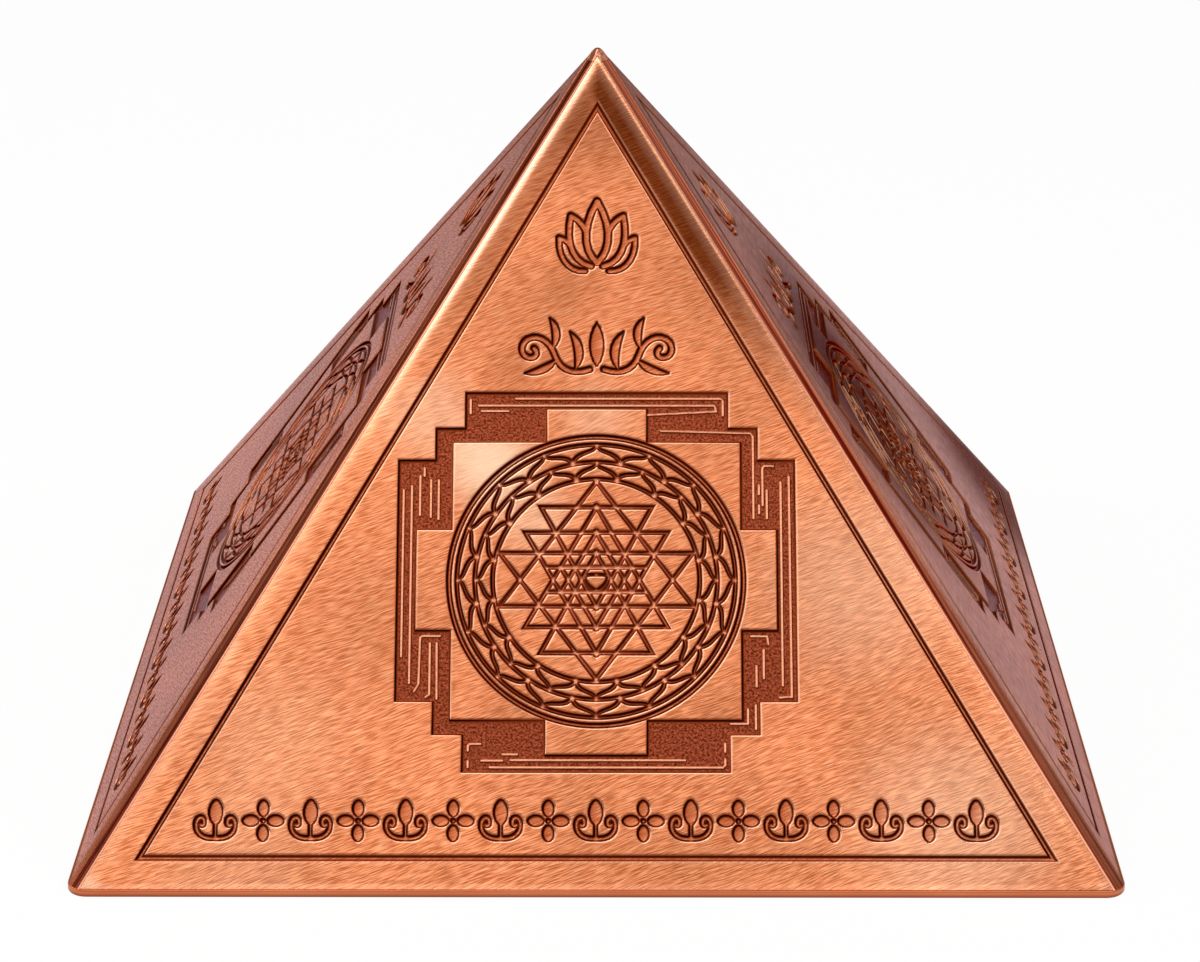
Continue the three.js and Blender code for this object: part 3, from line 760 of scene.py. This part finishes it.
# %% Margin
MARGIN = np.array([  # distance from the plate's edge along the face, height, slope that the light sees
    [0.0, -0.050, 0.52], [0.15, -0.036, 0.40], [0.3, -0.026, 0.32], [0.5, -0.016, 0.24], [0.75, -0.008, 0.15],
    [1.0, -0.003, 0.09], [1.35, -0.001, 0.05], [2.0, 0.0, 0.015], [3.0, 0.0, 0.0],
])
FOOT_ROLL = np.array([[0.0, -0.06, 0.14], [0.12, -0.02, 0.08], [0.3, -0.004, 0.04], [0.6, 0.0, 0.0]])
TOE_LEVELS = [0.0, 0.06, 0.12, 0.2]
seam_inset = (HALF_SEAM + JOINT_GAP) * sqrt(2)
hip_inset = seam_inset - MARGIN[0, 1] * sin_slope
plate_tip_v = (foot_half - hip_inset) / cos_slope - 0.02


def half_width(v, inset=0.0):
    """Half the width of the plate at v, less an inset from the edges"""
    widening = SEAM_WIDENING * sqrt(2) * (1 - v / slant)
    return foot_half - v * cos_slope - hip_inset - widening - inset / sin_base


right_edge = [(half_width(v), v) for v in TOE_LEVELS + [plate_tip_v]]
chains = [right_edge + [(-u, v) for u, v in reversed(right_edge)]] + contours
for inset in MARGIN[1:, 0]:
    foot = min(inset, FOOT_ROLL[-1, 0])
    tip_v = (foot_half - hip_inset - inset / sin_base) / cos_slope
    chains.append([(half_width(foot, inset), foot), (0, tip_v), (-half_width(foot, inset), foot)])

# %% Triangulate
flat_points, flat_edges = [], []
for chain in chains:
    start = len(flat_points)
    flat_points += [Vector(point) for point in chain]
    flat_edges += [(i, i + 1) for i in range(start, len(flat_points) - 1)] + [(len(flat_points) - 1, start)]
flat = delaunay_2d_cdt(flat_points, flat_edges, [], 0, 1e-6)
plate_uv = np.array([tuple(point) for point in flat[0]])
plate_faces = np.array(flat[2])
# An edge of a triangle that no other triangle shares lies on the rim
directed = plate_faces[:, [0, 1, 1, 2, 2, 0]].reshape(-1, 2)
_, first_seen, times_seen = np.unique(
    np.sort(directed, axis=1), axis=0, return_index=True, return_counts=True)
rim_next = dict(directed[first_seen[times_seen == 1]].tolist())
rim = [next(iter(rim_next))]
while rim_next[rim[-1]] != rim[0]:
    rim.append(rim_next[rim[-1]])
print(f"{len(plate_uv)} points, {len(plate_faces)} faces, {len(rim)} round the edge")

# %% [markdown]
# ### Heights, patina with painted shade, and normals
# Each point reads its distance from the field and takes its height and patina from the levels. Shade is
# painted into the patina: it is darkest on the walls, and the lips on the side of a groove that faces away
# from the lamps on the upper left keep a brown painted shadow. The lips on the other side face those lamps
# and are polished and painted paler, a painted highlight. The normals come from the slope of the relief
# itself instead of from the triangles, so long thin triangles still shade as one smooth wall, and flat metal
# stays flat.

# %% Heights


def sampled(field):
    """The field at the points of the plate, from the four grid points around each"""
    place_in_grid = np.clip((plate_uv - GRID_LOW) / STEP, 0, [len(grid_u) - 1.001, len(grid_v) - 1.001])
    column, row = np.floor(place_in_grid).astype(int).T
    right_part, upper_part = (place_in_grid - np.floor(place_in_grid)).T
    lower = field[row, column] * (1 - right_part) + field[row, column + 1] * right_part
    upper = field[row + 1, column] * (1 - right_part) + field[row + 1, column + 1] * right_part
    return lower * (1 - upper_part) + upper * upper_part


def read(table, column, at):
    return np.interp(at, table[:, 0], table[:, column])


distance = sampled(edge_distance)
foot_distance = plate_uv[:, 1]
hip_distance = (half_width(foot_distance) - np.abs(plate_uv[:, 0])) * sin_base
height = read(LEVELS, 1, distance) + read(MARGIN, 1, hip_distance) + read(FOOT_ROLL, 1, foot_distance)
wall_v, wall_u = (sampled(gradient) for gradient in np.gradient(edge_distance, STEP))

# %% Patina, polish, and the painted light in them
towards_upper_left = (wall_v - wall_u) / sqrt(2)
patina_shade_outside = np.clip(0.55 + 0.75 * towards_upper_left, 0.08, 1.1)
patina_shade_inside = np.clip(0.8 + 0.45 * towards_upper_left, 0.4, 1.15)
crossing = np.interp(sampled(yantra_crossings), [-0.04, 0.06], [0, 1])
on_ridge = np.interp(sampled(ridge_distance), [0.02, 0.07], [1, 0])
in_band = (sampled(band_distance) < -0.05) & (distance < -0.12)
# Real patina in the grooves, with painted shade: more on the walls and on the side away from the lamps on the
# upper left, less at crossings, none on the ridges
patina_and_shade_amount = read(LEVELS, 2, distance) * np.where(distance > 0.02, patina_shade_outside, patina_shade_inside)
patina_and_shade_amount *= (1 - 0.85 * crossing) * (1 - on_ridge)
patina_and_shade_amount = np.where(in_band & (distance < -0.27), 0, np.minimum(patina_and_shade_amount, 1))
# The margins of the right half get less polish, and so less painted highlight, than those of the left
right_half = plate_uv[:, 0] > 0
margin_polish_share = np.where(right_half, 0.3, 1)
# Polish smooths the copper and paints it paler, a painted highlight: on the lips that face the lamps on the
# upper left, along the margins and the foot, at crossings and on the ridges
polish_and_highlight_amount = np.max([
    np.interp(distance, [-0.02, 0.04, 0.12, 0.2], [0, 1, 1, 0]) * np.clip(0.2 - 1.15 * towards_upper_left, 0, 1),
    np.interp(hip_distance, [0, 0.2, 1.3], [0.6, 0.3, 0.0]) * margin_polish_share,
    np.interp(foot_distance, [0, 0.12, 0.3], [0.5, 0.25, 0.0]) * margin_polish_share,
    0.35 * crossing,
    0.75 * on_ridge,
], axis=0)

# %% Normals
RIGHT_ROLL_LIMIT = 0.28  # the right margin rolls off more gently than the left one
hip_slope = np.minimum(read(MARGIN, 2, hip_distance), np.where(right_half, RIGHT_ROLL_LIMIT, np.inf))
wall_slope = read(LEVELS, 3, distance) * (1 - on_ridge)
slope_u = wall_slope * wall_u - np.sign(plate_uv[:, 0]) * hip_slope * sin_base
slope_v = wall_slope * wall_v - hip_slope * cos_base + read(FOOT_ROLL, 2, foot_distance)
plate_normals = np.stack([-slope_u, -slope_v, np.ones(len(slope_u))], axis=1)
plate_normals /= np.linalg.norm(plate_normals, axis=1)[:, None]

# %% [markdown]
# ### Closing the plate
# The relief is the outer skin of a solid sheet. Its rim is copied to the back, which lies one millimetre
# behind the face, and set in further along the hips because the mitre is vertical. The same mesh then
# serves all four sides, turned by quarter turns.

# %% The plate's skin, walls and back
skin_count = len(plate_uv)
rim_uv = plate_uv[rim]
back_inset = SHEET * sin_slope + seam_inset
back_v = np.minimum(rim_uv[:, 1], (foot_half - back_inset) / cos_slope - 0.06)
back_half = half_width(back_v) + hip_inset - back_inset
foot_shift = np.where(rim_uv[:, 1] < 1e-6, SHEET / steepness, 0)
back_uv = np.stack([np.clip(rim_uv[:, 0], -back_half, back_half), back_v + foot_shift], axis=1)
foot_lift = np.where(np.abs(foot_distance) < 1e-6, -height / steepness, 0)
plate_local = np.concatenate([
    np.column_stack([plate_uv[:, 0], foot_distance + foot_lift, height]),
    np.column_stack([back_uv, np.full(len(rim), -SHEET)]),
])
plate_points = plate_local @ face_axes + face_foot
back_ring = list(range(skin_count, skin_count + len(rim)))
wall_faces = [(rim[i], rim[i - 1], back_ring[i - 1], back_ring[i]) for i in range(len(rim))]
all_faces = plate_faces.tolist() + wall_faces + [back_ring[::-1]]


def finished_object(name, points, faces, material, slot_name, replaced):
    """A mesh object in metres that stands for a CAD node"""
    piece = mesh_object(name, points, faces, material)
    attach(piece, "root")
    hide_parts(replaced)
    return piece


def add_attribute(piece, name, values):
    """Gives each point a number, or a place of three numbers, for the nodes to read"""
    values = np.asarray(values, dtype=np.float32)
    kind, field = ("FLOAT", "value") if values.ndim == 1 else ("FLOAT_VECTOR", "vector")
    piece.data.attributes.new(name, kind, "POINT").data.foreach_set(field, values.ravel())


# %% Build the four plates
SKIN_SPAN, BACK_SPAN = 104, 450  # millimetres across the whole bake image, for the skin and for the back
skin_uv = [0.5, 0.03] + plate_local[:, :2] / SKIN_SPAN
back_face_uv = [0.12, 0.76] + plate_local[:, :2] / BACK_SPAN
skin_loops = plate_faces.size
for turns, side in enumerate(SIDES):
    plate = finished_object(f"{side}_pressed_plate", quarter_turns(plate_points, turns), all_faces, copper,
                            "pressed_copper", f"{side}_face_plate")
    mesh = plate.data
    add_attribute(plate, "face_place", np.column_stack([
        plate_local[:, :2], np.full(len(plate_local), FACE_STEP * turns)]))
    for name, values in (("patina_and_shade", patina_and_shade_amount), ("polish", polish_and_highlight_amount), ("stipple", in_band)):
        add_attribute(plate, name, np.concatenate([values, np.zeros(len(rim))]))
    uv_layer = mesh.uv_layers.new(name="OFBake")
    loop_vertices = np.zeros(len(mesh.loops), dtype=np.int32)
    mesh.loops.foreach_get("vertex_index", loop_vertices)
    loop_uv = skin_uv[loop_vertices]
    loop_uv[-len(rim):] = back_face_uv[loop_vertices[-len(rim):]]
    uv_layer.data.foreach_set("uv", loop_uv.astype(np.float32).ravel())
    mesh.polygons.foreach_set("use_smooth", [True] * len(plate_faces) + [False] * (len(rim) + 1))
    skin_normals = quarter_turns(plate_normals @ face_axes, turns)
    loop_normals = np.zeros((len(mesh.loops), 3), dtype=np.float32)
    loop_normals[:skin_loops] = skin_normals[loop_vertices[:skin_loops]]
    mesh.normals_split_custom_set(loop_normals.tolist())
print("plates built:", len(SIDES))

# %% [markdown]
# ## Burnished copper
# The strips on the hips and the cap on the tip are copper too, but rubbed smooth with a steel burnisher.
# Their colour is painted dark, a painted reflection of the dim room they face. They mirror the room more
# sharply than the plates do, with faint lines along their length. Four metals below end in the same few
# nodes, so these are
# built by one function: fine marks that the light feels as bump, a roughness that wanders between two limits,
# and the metal itself.

# %% Burnished copper


def worked_metal(marks, wear, colour, roughness, strength, depth, tint="#FFFFFF"):
    """The end of a metal's tree. The depth of the marks is in millimetres"""
    roughness = add_node("MapRange", [wear, 0, 1, roughness[0], roughness[1]])
    bump = add_node("Bump", {"Height": marks, "Strength": strength, "Distance": depth * MM})
    shader = add_node("BsdfPrincipled", {
        "Base Color": colour, "Metallic": 1.0, "Roughness": roughness, "Normal": bump, "Specular Tint": tint,
    })
    add_node("OutputMaterial", [shader])


burnished, tree = new_material("burnished_copper")
along_strip = add_node("Attribute", attribute_name="strip_place").outputs["Vector"]
# Lines 0.4 mm apart run up the strips and keep their strength over some 40 mm. Real ones are finer
drawn_place = add_node("Mapping", {"Vector": along_strip, "Scale": (0.2, 0.2, 40)}, **STRETCHED)
drawn_lines = add_node("TexNoise", [drawn_place, 1.0, 2.0])
smudges = add_node("TexNoise", [along_strip, 1 / 4, 3.0])
drawn_spread = add_node("MapRange", [drawn_lines, 0.41, 0.59])
# The dark copper of the strips is painted, a painted reflection, with the drawn lines in it
strip_colour_with_painted_reflection = add_node("Mix", [drawn_spread, "#7A2010", "#DC7A58"], **RGBA)
# The arrises on both sides of the flat are paler, partly from wear and partly as a painted highlight
across_strip = add_node("SeparateXYZ", [along_strip])
from_middle = add_node("Math", [across_strip.outputs["X"]], operation="ABSOLUTE")
worn_and_highlit_arris = add_node("MapRange", [from_middle, 0.34, 0.44, 0, 0.7])
worn_and_highlight_colour = add_node("Mix", [worn_and_highlit_arris, strip_colour_with_painted_reflection, "#F8A888"], **RGBA)
worked_metal(drawn_lines, smudges, worn_and_highlight_colour, (0.16, 0.34), 0.6, 0.006, tint="#D08070")

# %% [markdown]
# ## Hip strips
# A strip closes the joint between two plates. Its nose shows as a flat, one millimetre wide at the tip and
# half as wide again at the foot, with a fine rounded arris on either side, and two hidden flanges behind
# the plates carry it. The section is drawn for each height, and each of its points runs along the hip. At
# the foot the strip follows the rounded corner of the base plate.

# %% Section of a strip
sine, cosine = sin(half_dihedral), cos(half_dihedral)
nose_top = -HALF_SEAM * cosine / sine
plate_back = -(SHEET + JOINT_GAP) / sine
FLANGE_WIDTH = 4.0
FLANGE_THICKNESS = 1.2
ARRIS = [(0.2, 0.0), (0.4, -0.003), (0.46, -0.014), (0.5, -0.032), (HALF_SEAM, -0.06)]
flange_reach = HALF_SEAM + FLANGE_WIDTH * sine
flange_low = -flange_reach * cosine / sine + plate_back


def strip_section(half_seam):
    """Points round a strip whose nose has a given half width, each with its place across at the tip"""
    level = -half_seam * cosine / sine
    right = [(x * half_seam / HALF_SEAM, level + y, x) for x, y in ARRIS] + [
        (half_seam, level + plate_back, HALF_SEAM),
        (flange_reach, flange_low, flange_reach),
        (flange_reach - FLANGE_THICKNESS * cosine, flange_low - FLANGE_THICKNESS * sine, flange_reach),
    ]
    inner = (0.0, nose_top + plate_back - FLANGE_THICKNESS / sine, 0.0)
    return right + [inner] + [(-x, y, -place_across) for x, y, place_across in reversed(right)]


def lofted(rings):
    """Points and faces of a closed body through rings of equal count"""
    count = len(rings[0])
    starts = range(0, len(rings) * count, count)
    faces = [(low + i, low + (i + 1) % count, high + (i + 1) % count, high + i)
             for low, high in zip(starts, starts[1:]) for i in range(count)]
    faces += [tuple(reversed(range(count))), tuple(range(starts[-1], starts[-1] + count))]
    return [point for ring in rings for point in ring], faces


def tidy_and_smooth(piece, angle):
    """Outward faces, no doubled points, and smooth shading up to a given angle"""
    form = bmesh.new()
    form.from_mesh(piece.data)
    bmesh.ops.remove_doubles(form, verts=form.verts, dist=1e-7)
    bmesh.ops.recalc_face_normals(form, faces=form.faces)
    for edge in form.edges:
        edge.smooth = edge.calc_face_angle(pi) < radians(angle)
    for face in form.faces:
        face.smooth = True
    form.to_mesh(piece.data)
    form.free()


# %% Build the four strips
STRIP_LEVELS = [RIM_HEIGHT, 1.3, 2.2, 12.0, 30.0, 50.0, 62.0, CAP_UNDERSIDE - JOINT_GAP]
TOE_HEIGHT = 3  # below this the strip is held inside the base plate's corner
TOE_SET_IN = 0.02
toe_radius = CORNER_RADIUS - TOE_SET_IN
corner_centre = np.full(2, CORNER_RADIUS - HALF_BASE)
strip_rings, strip_places = [], []
for z in STRIP_LEVELS:
    ring = []
    for x, y, place_across in strip_section(HALF_SEAM + SEAM_WIDENING * (1 - (z - RIM_HEIGHT) / rise)):
        start = [0, 0, APEX_HEIGHT] + x * hip_across + y * hip_outward
        point = start + hip_along * (z - start[2]) / hip_along[2]
        out = point[:2] - corner_centre
        if z < TOE_HEIGHT and max(out) < 0 and np.linalg.norm(out) > toe_radius:
            point[:2] = corner_centre + out / np.linalg.norm(out) * toe_radius
        point[:2] = np.minimum(point[:2], -JOINT_GAP / 2)
        ring.append(point)
        strip_places.append((place_across, y, z / hip_along[2]))
    strip_rings.append(ring)
strip_points, strip_faces = lofted(strip_rings)
PLACE_STEP = 150  # moves each strip to a part of the pattern of its own
for turns, corner_name in enumerate(CORNERS):
    strip = finished_object(f"{corner_name}_burnished_strip", quarter_turns(strip_points, turns), strip_faces,
                            burnished, "polished_copper", f"{corner_name}_hip_strip")
    add_attribute(strip, "strip_place", np.array(strip_places) + [0, 0, PLACE_STEP * turns])
    tidy_and_smooth(strip, 40)
print("hip strips built, mm wide at tip and foot:", 2 * HALF_SEAM, 2 * (HALF_SEAM + SEAM_WIDENING))

# %% [markdown]
# ## Apex cap
# Near the tip the plates run out and the four hip flats meet each other, so the cap is a tiny pyramid that
# stands corner-on to the base, worn round at the top. Its sections are found from those planes: at each
# height and in each direction the nearest of the faces, the flats and the round top sets the radius. The
# flats swell a little just below the round top, which keeps it as blunt as in the photograph.

# %% Build the cap
CAP_TOP = 68.958
CAP_SIDES = 64
TIP_ROUND = 0.643
STEM_RADIUS = 0.6
STEM_FOOT = CAP_UNDERSIDE - 11
CAP_PROUD, CAP_SUNK = 0.02, 0.03  # how it stands over the flats, and below the faces
ARRIS_SHARPNESS = 16  # the higher, the sharper the edges between the cap's sides
SWELL_START, SWELL_LENGTH, SWELL_HEIGHT = 68.15, 0.55, 0.12
CAP_LEVELS = [CAP_UNDERSIDE, 68.05, 68.25, 68.4, 68.52, 68.62, 68.7, 68.77, 68.83, 68.88, 68.92, 68.945]


def cap_radius(angle, z):
    c, s = abs(cos(angle)), abs(sin(angle))
    to_face = (APEX_HEIGHT - z) / steepness
    swell = min(max((z - SWELL_START) / SWELL_LENGTH, 0), 1)
    level = nose_top + CAP_PROUD + SWELL_HEIGHT * swell * swell * (3 - 2 * swell)
    to_flats = 2 * (to_face + level * (-hip_outward[0] + hip_outward[2] / steepness))
    notch = (HALF_SEAM - 0.01) * sqrt(2)
    reaches = [(to_face - CAP_SUNK) / max(c, s), to_flats / (c + s), notch / max(abs(c - s), 1e-6)]
    height_in_ball = z - (CAP_TOP - TIP_ROUND)
    if height_in_ball > TIP_ROUND * cos_slope:
        reaches.append(sqrt(max(TIP_ROUND ** 2 - height_in_ball ** 2, 0)))
    return sum(max(r, 1e-4) ** -ARRIS_SHARPNESS for r in reaches) ** (-1 / ARRIS_SHARPNESS)


angles = [2 * pi * i / CAP_SIDES for i in range(CAP_SIDES)]
stem = [(STEM_RADIUS * 0.8, STEM_FOOT), (STEM_RADIUS, STEM_FOOT + 0.15), (STEM_RADIUS, CAP_UNDERSIDE)]
sections = [([radius] * CAP_SIDES, z) for radius, z in stem]
sections += [([cap_radius(a, z) for a in angles], z) for z in CAP_LEVELS]
cap_rings = [[(r * cos(a), r * sin(a), z) for r, a in zip(radii, angles)] for radii, z in sections]
cap_points, cap_faces = lofted(cap_rings)
cap_points.append((0, 0, CAP_TOP))
top_ring = cap_faces.pop()
cap_faces += [(top_ring[i - 1], top_ring[i], len(cap_points) - 1) for i in range(CAP_SIDES)]
cap = finished_object("apex_burnished_cap", cap_points, cap_faces, burnished, "polished_copper", "apex_cap")
# The pattern is stretched over the cap, and all of it falls in the paler arris part, which is partly wear and
# partly painted highlight
add_attribute(cap, "strip_place", np.array(cap_points) * [0.05, 0.05, 0.3] + [1, 0, 0])
tidy_and_smooth(cap, 45)
print("cap from", STEM_FOOT, "to", CAP_TOP, "mm")

# %% [markdown]
# ## Base plate
# The base is rolled copper sheet, cut square with rounded corners and worn soft along its edges. Its rim
# shows as a pinkish line under the faces. The middle is raised so that it drops between the rails inside,
# and four countersunk holes take the screws.

# %% Rolled copper
rolled, tree = new_material("rolled_copper_sheet")
on_sheet = add_node("TexCoord").outputs["Object"]
# Rolling leaves long shallow lines. They are drawn 0.4 mm apart, which is coarser than real ones
rolled_cell = (40 * MM, 0.2 * MM, 0.2 * MM)
rolling_place = add_node("Mapping", {"Vector": on_sheet, "Scale": rolled_cell}, **STRETCHED)
rolling = add_node("TexNoise", [rolling_place, 1.0, 3.0])
tarnish = add_node("TexNoise", [on_sheet, 1 / (9 * MM), 4.0])
rolled_colour = add_node("Mix", [tarnish, "#C46640", "#E88E60"], **RGBA)
# The lower edge of the rim is painted darker, a painted shade where it turns under towards the table
up_the_rim = add_node("SeparateXYZ", [on_sheet]).outputs["Z"]
above_rim_shade = add_node("MapRange", [up_the_rim, 0.1 * MM, 0.5 * MM])
rim_colour_with_shade = add_node("Mix", [above_rim_shade, "#8E4630", rolled_colour], **RGBA)
worked_metal(rolling, rolling, rim_colour_with_shade, (0.3, 0.48), 0.7, 0.01)

# %% Build the base plate
BASE_THICKNESS = 2.0
RAIL_INNER = 42.47
CORNER_STEPS = 10


def rounded_square(half, radius, z):
    """A ring of points round a square with rounded corners"""
    ring = []
    for quarter in range(4):
        x_sign, y_sign = CORNER_SIGNS[(quarter + 2) % 4]
        for step in range(CORNER_STEPS + 1):
            angle = (quarter + step / CORNER_STEPS) * pi / 2
            ring.append((x_sign * (half - radius) + radius * cos(angle),
                         y_sign * (half - radius) + radius * sin(angle), z))
    return ring


RIM_SECTION = [(0.14, 0.0), (0.05, 0.03), (0.0, 0.12), (0.0, 0.6), (0.025, 0.69), (0.09, 0.75)]
base_rings = [rounded_square(HALF_BASE - inset, CORNER_RADIUS - inset, z) for inset, z in RIM_SECTION]
step_half = RAIL_INNER - 0.3
STEP_SECTION = [(0, RIM_HEIGHT), (0, BASE_THICKNESS - 0.1), (0.1, BASE_THICKNESS)]
base_rings += [rounded_square(step_half - inset, 0.3 - inset, z) for inset, z in STEP_SECTION]
base = finished_object("base_rolled_plate", *lofted(base_rings), rolled, "rolled_copper", "base_plate")

# %% Countersink the four holes
SCREW_PLACE = 37.47
POCKET = [(0, -1), (3.05, -1), (3.05, 0.35), (1.8, 1.65), (1.8, 3), (0, 3)]
TURNED_SIDES = 48


def turned(outline):
    """Points and faces of a solid of revolution from its radii and heights, which start and end at 0"""
    around = [2 * pi * i / TURNED_SIDES for i in range(TURNED_SIDES)]
    return lofted([[(r * cos(a), r * sin(a), z) for a in around] for r, z in outline[1:-1]])


def cut_away(piece, points, faces):
    """Takes a volume out of the piece for good"""
    cutter = mesh_object("cutter", points, faces)
    modifier = piece.modifiers.new("cut", "BOOLEAN")
    modifier.object, modifier.operation, modifier.solver = cutter, "DIFFERENCE", "EXACT"
    cut_mesh = bpy.data.meshes.new_from_object(piece.evaluated_get(bpy.context.evaluated_depsgraph_get()))
    piece.modifiers.clear()
    piece.data = cut_mesh
    bpy.data.objects.remove(cutter)


pocket_points, pocket_faces = turned(POCKET)
for x, y in CORNER_SIGNS:
    cut_away(base, np.asarray(pocket_points) + [x * SCREW_PLACE, y * SCREW_PLACE, 0], pocket_faces)
tidy_and_smooth(base, 35)
print("base plate:", len(base.data.polygons), "faces")

# %% [markdown]
# ## Screws and inner frame
# Four slotted countersunk screws hold the base to brass blocks in the corners, and brass rails and a block
# under the tip carry the plates. These pieces are hidden when the pyramid stands. The inner ones keep their
# CAD shapes, which are plain bar, and only get a finish. The screw heads are turned finer than in the CAD.

# %% Turned steel
steel, tree = new_material("turned_steel")
# The four screws stand at the same distance from both axes, so folding x and y gives each its own middle
where = add_node("TexCoord").outputs["Object"]
folded = add_node("VectorMath", [where], operation="ABSOLUTE")
from_screw = add_node("VectorMath", [folded, (SCREW_PLACE * MM, SCREW_PLACE * MM, 0)], operation="SUBTRACT")
# Turning marks are drawn half a millimetre apart, because real ones of 0.1 mm would not show
turning = add_node("TexWave", {
    "Vector": from_screw, "Scale": 1 / (1.6 * MM), "Distortion": 0.4, "Detail": 2.0,
}, wave_type="RINGS", rings_direction="Z").outputs["Fac"]
steel_colour = add_node("Mix", [turning, "#B4B0A8", "#CFCBC3"], **RGBA)
worked_metal(turning, turning, steel_colour, (0.24, 0.38), 0.5, 0.008)

# %% Build the screws
SCREW = [(0, 0.15), (2.6, 0.15), (2.75, 0.22), (2.75, 0.35), (1.5, 1.65), (1.5, 5.35), (1.3, 5.55), (0, 5.55)]
SLOT = [[(x * 4, y * 0.4, z) for x, y in CORNER_SIGNS] for z in (-0.5, 0.75)]
screw_points, screw_faces = turned(SCREW)
slot_points, slot_faces = lofted(SLOT)
for (x, y), corner_name in zip(CORNER_SIGNS, CORNERS):
    centre = [x * SCREW_PLACE, y * SCREW_PLACE, 0]
    screw = finished_object(f"{corner_name}_turned_screw", np.asarray(screw_points) + centre, screw_faces,
                            steel, "screw_steel", f"{corner_name}_base_screw")
    cut_away(screw, np.asarray(slot_points) + centre, slot_faces)
    tidy_and_smooth(screw, 30)
print("screws:", len(CORNERS))

# %% Drawn brass
brass, tree = new_material("drawn_brass_bar")
# Drawing through a die leaves lines some 60 mm long, drawn here 0.6 mm apart so that they show
on_bar, drawn_cell = add_node("TexCoord").outputs["Object"], (60 * MM, 0.3 * MM, 0.3 * MM)
die_place = add_node("Mapping", {"Vector": on_bar, "Scale": drawn_cell}, **STRETCHED)
die_lines = add_node("TexNoise", [die_place, 1.0, 2.0])
brass_colour = add_node("Mix", [die_lines, "#B8924E", "#D8B46E"], **RGBA)
worked_metal(die_lines, die_lines, brass_colour, (0.34, 0.5), 0.5, 0.015)
inner_nodes = ["apex_block"] + [f"{side}_base_rail" for side in SIDES]
inner_nodes += [f"{corner_name}_corner_block" for corner_name in CORNERS]
for name in inner_nodes:
    for material_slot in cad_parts[name].material_slots:
        material_slot.material = brass
print("brass pieces:", len(inner_nodes))
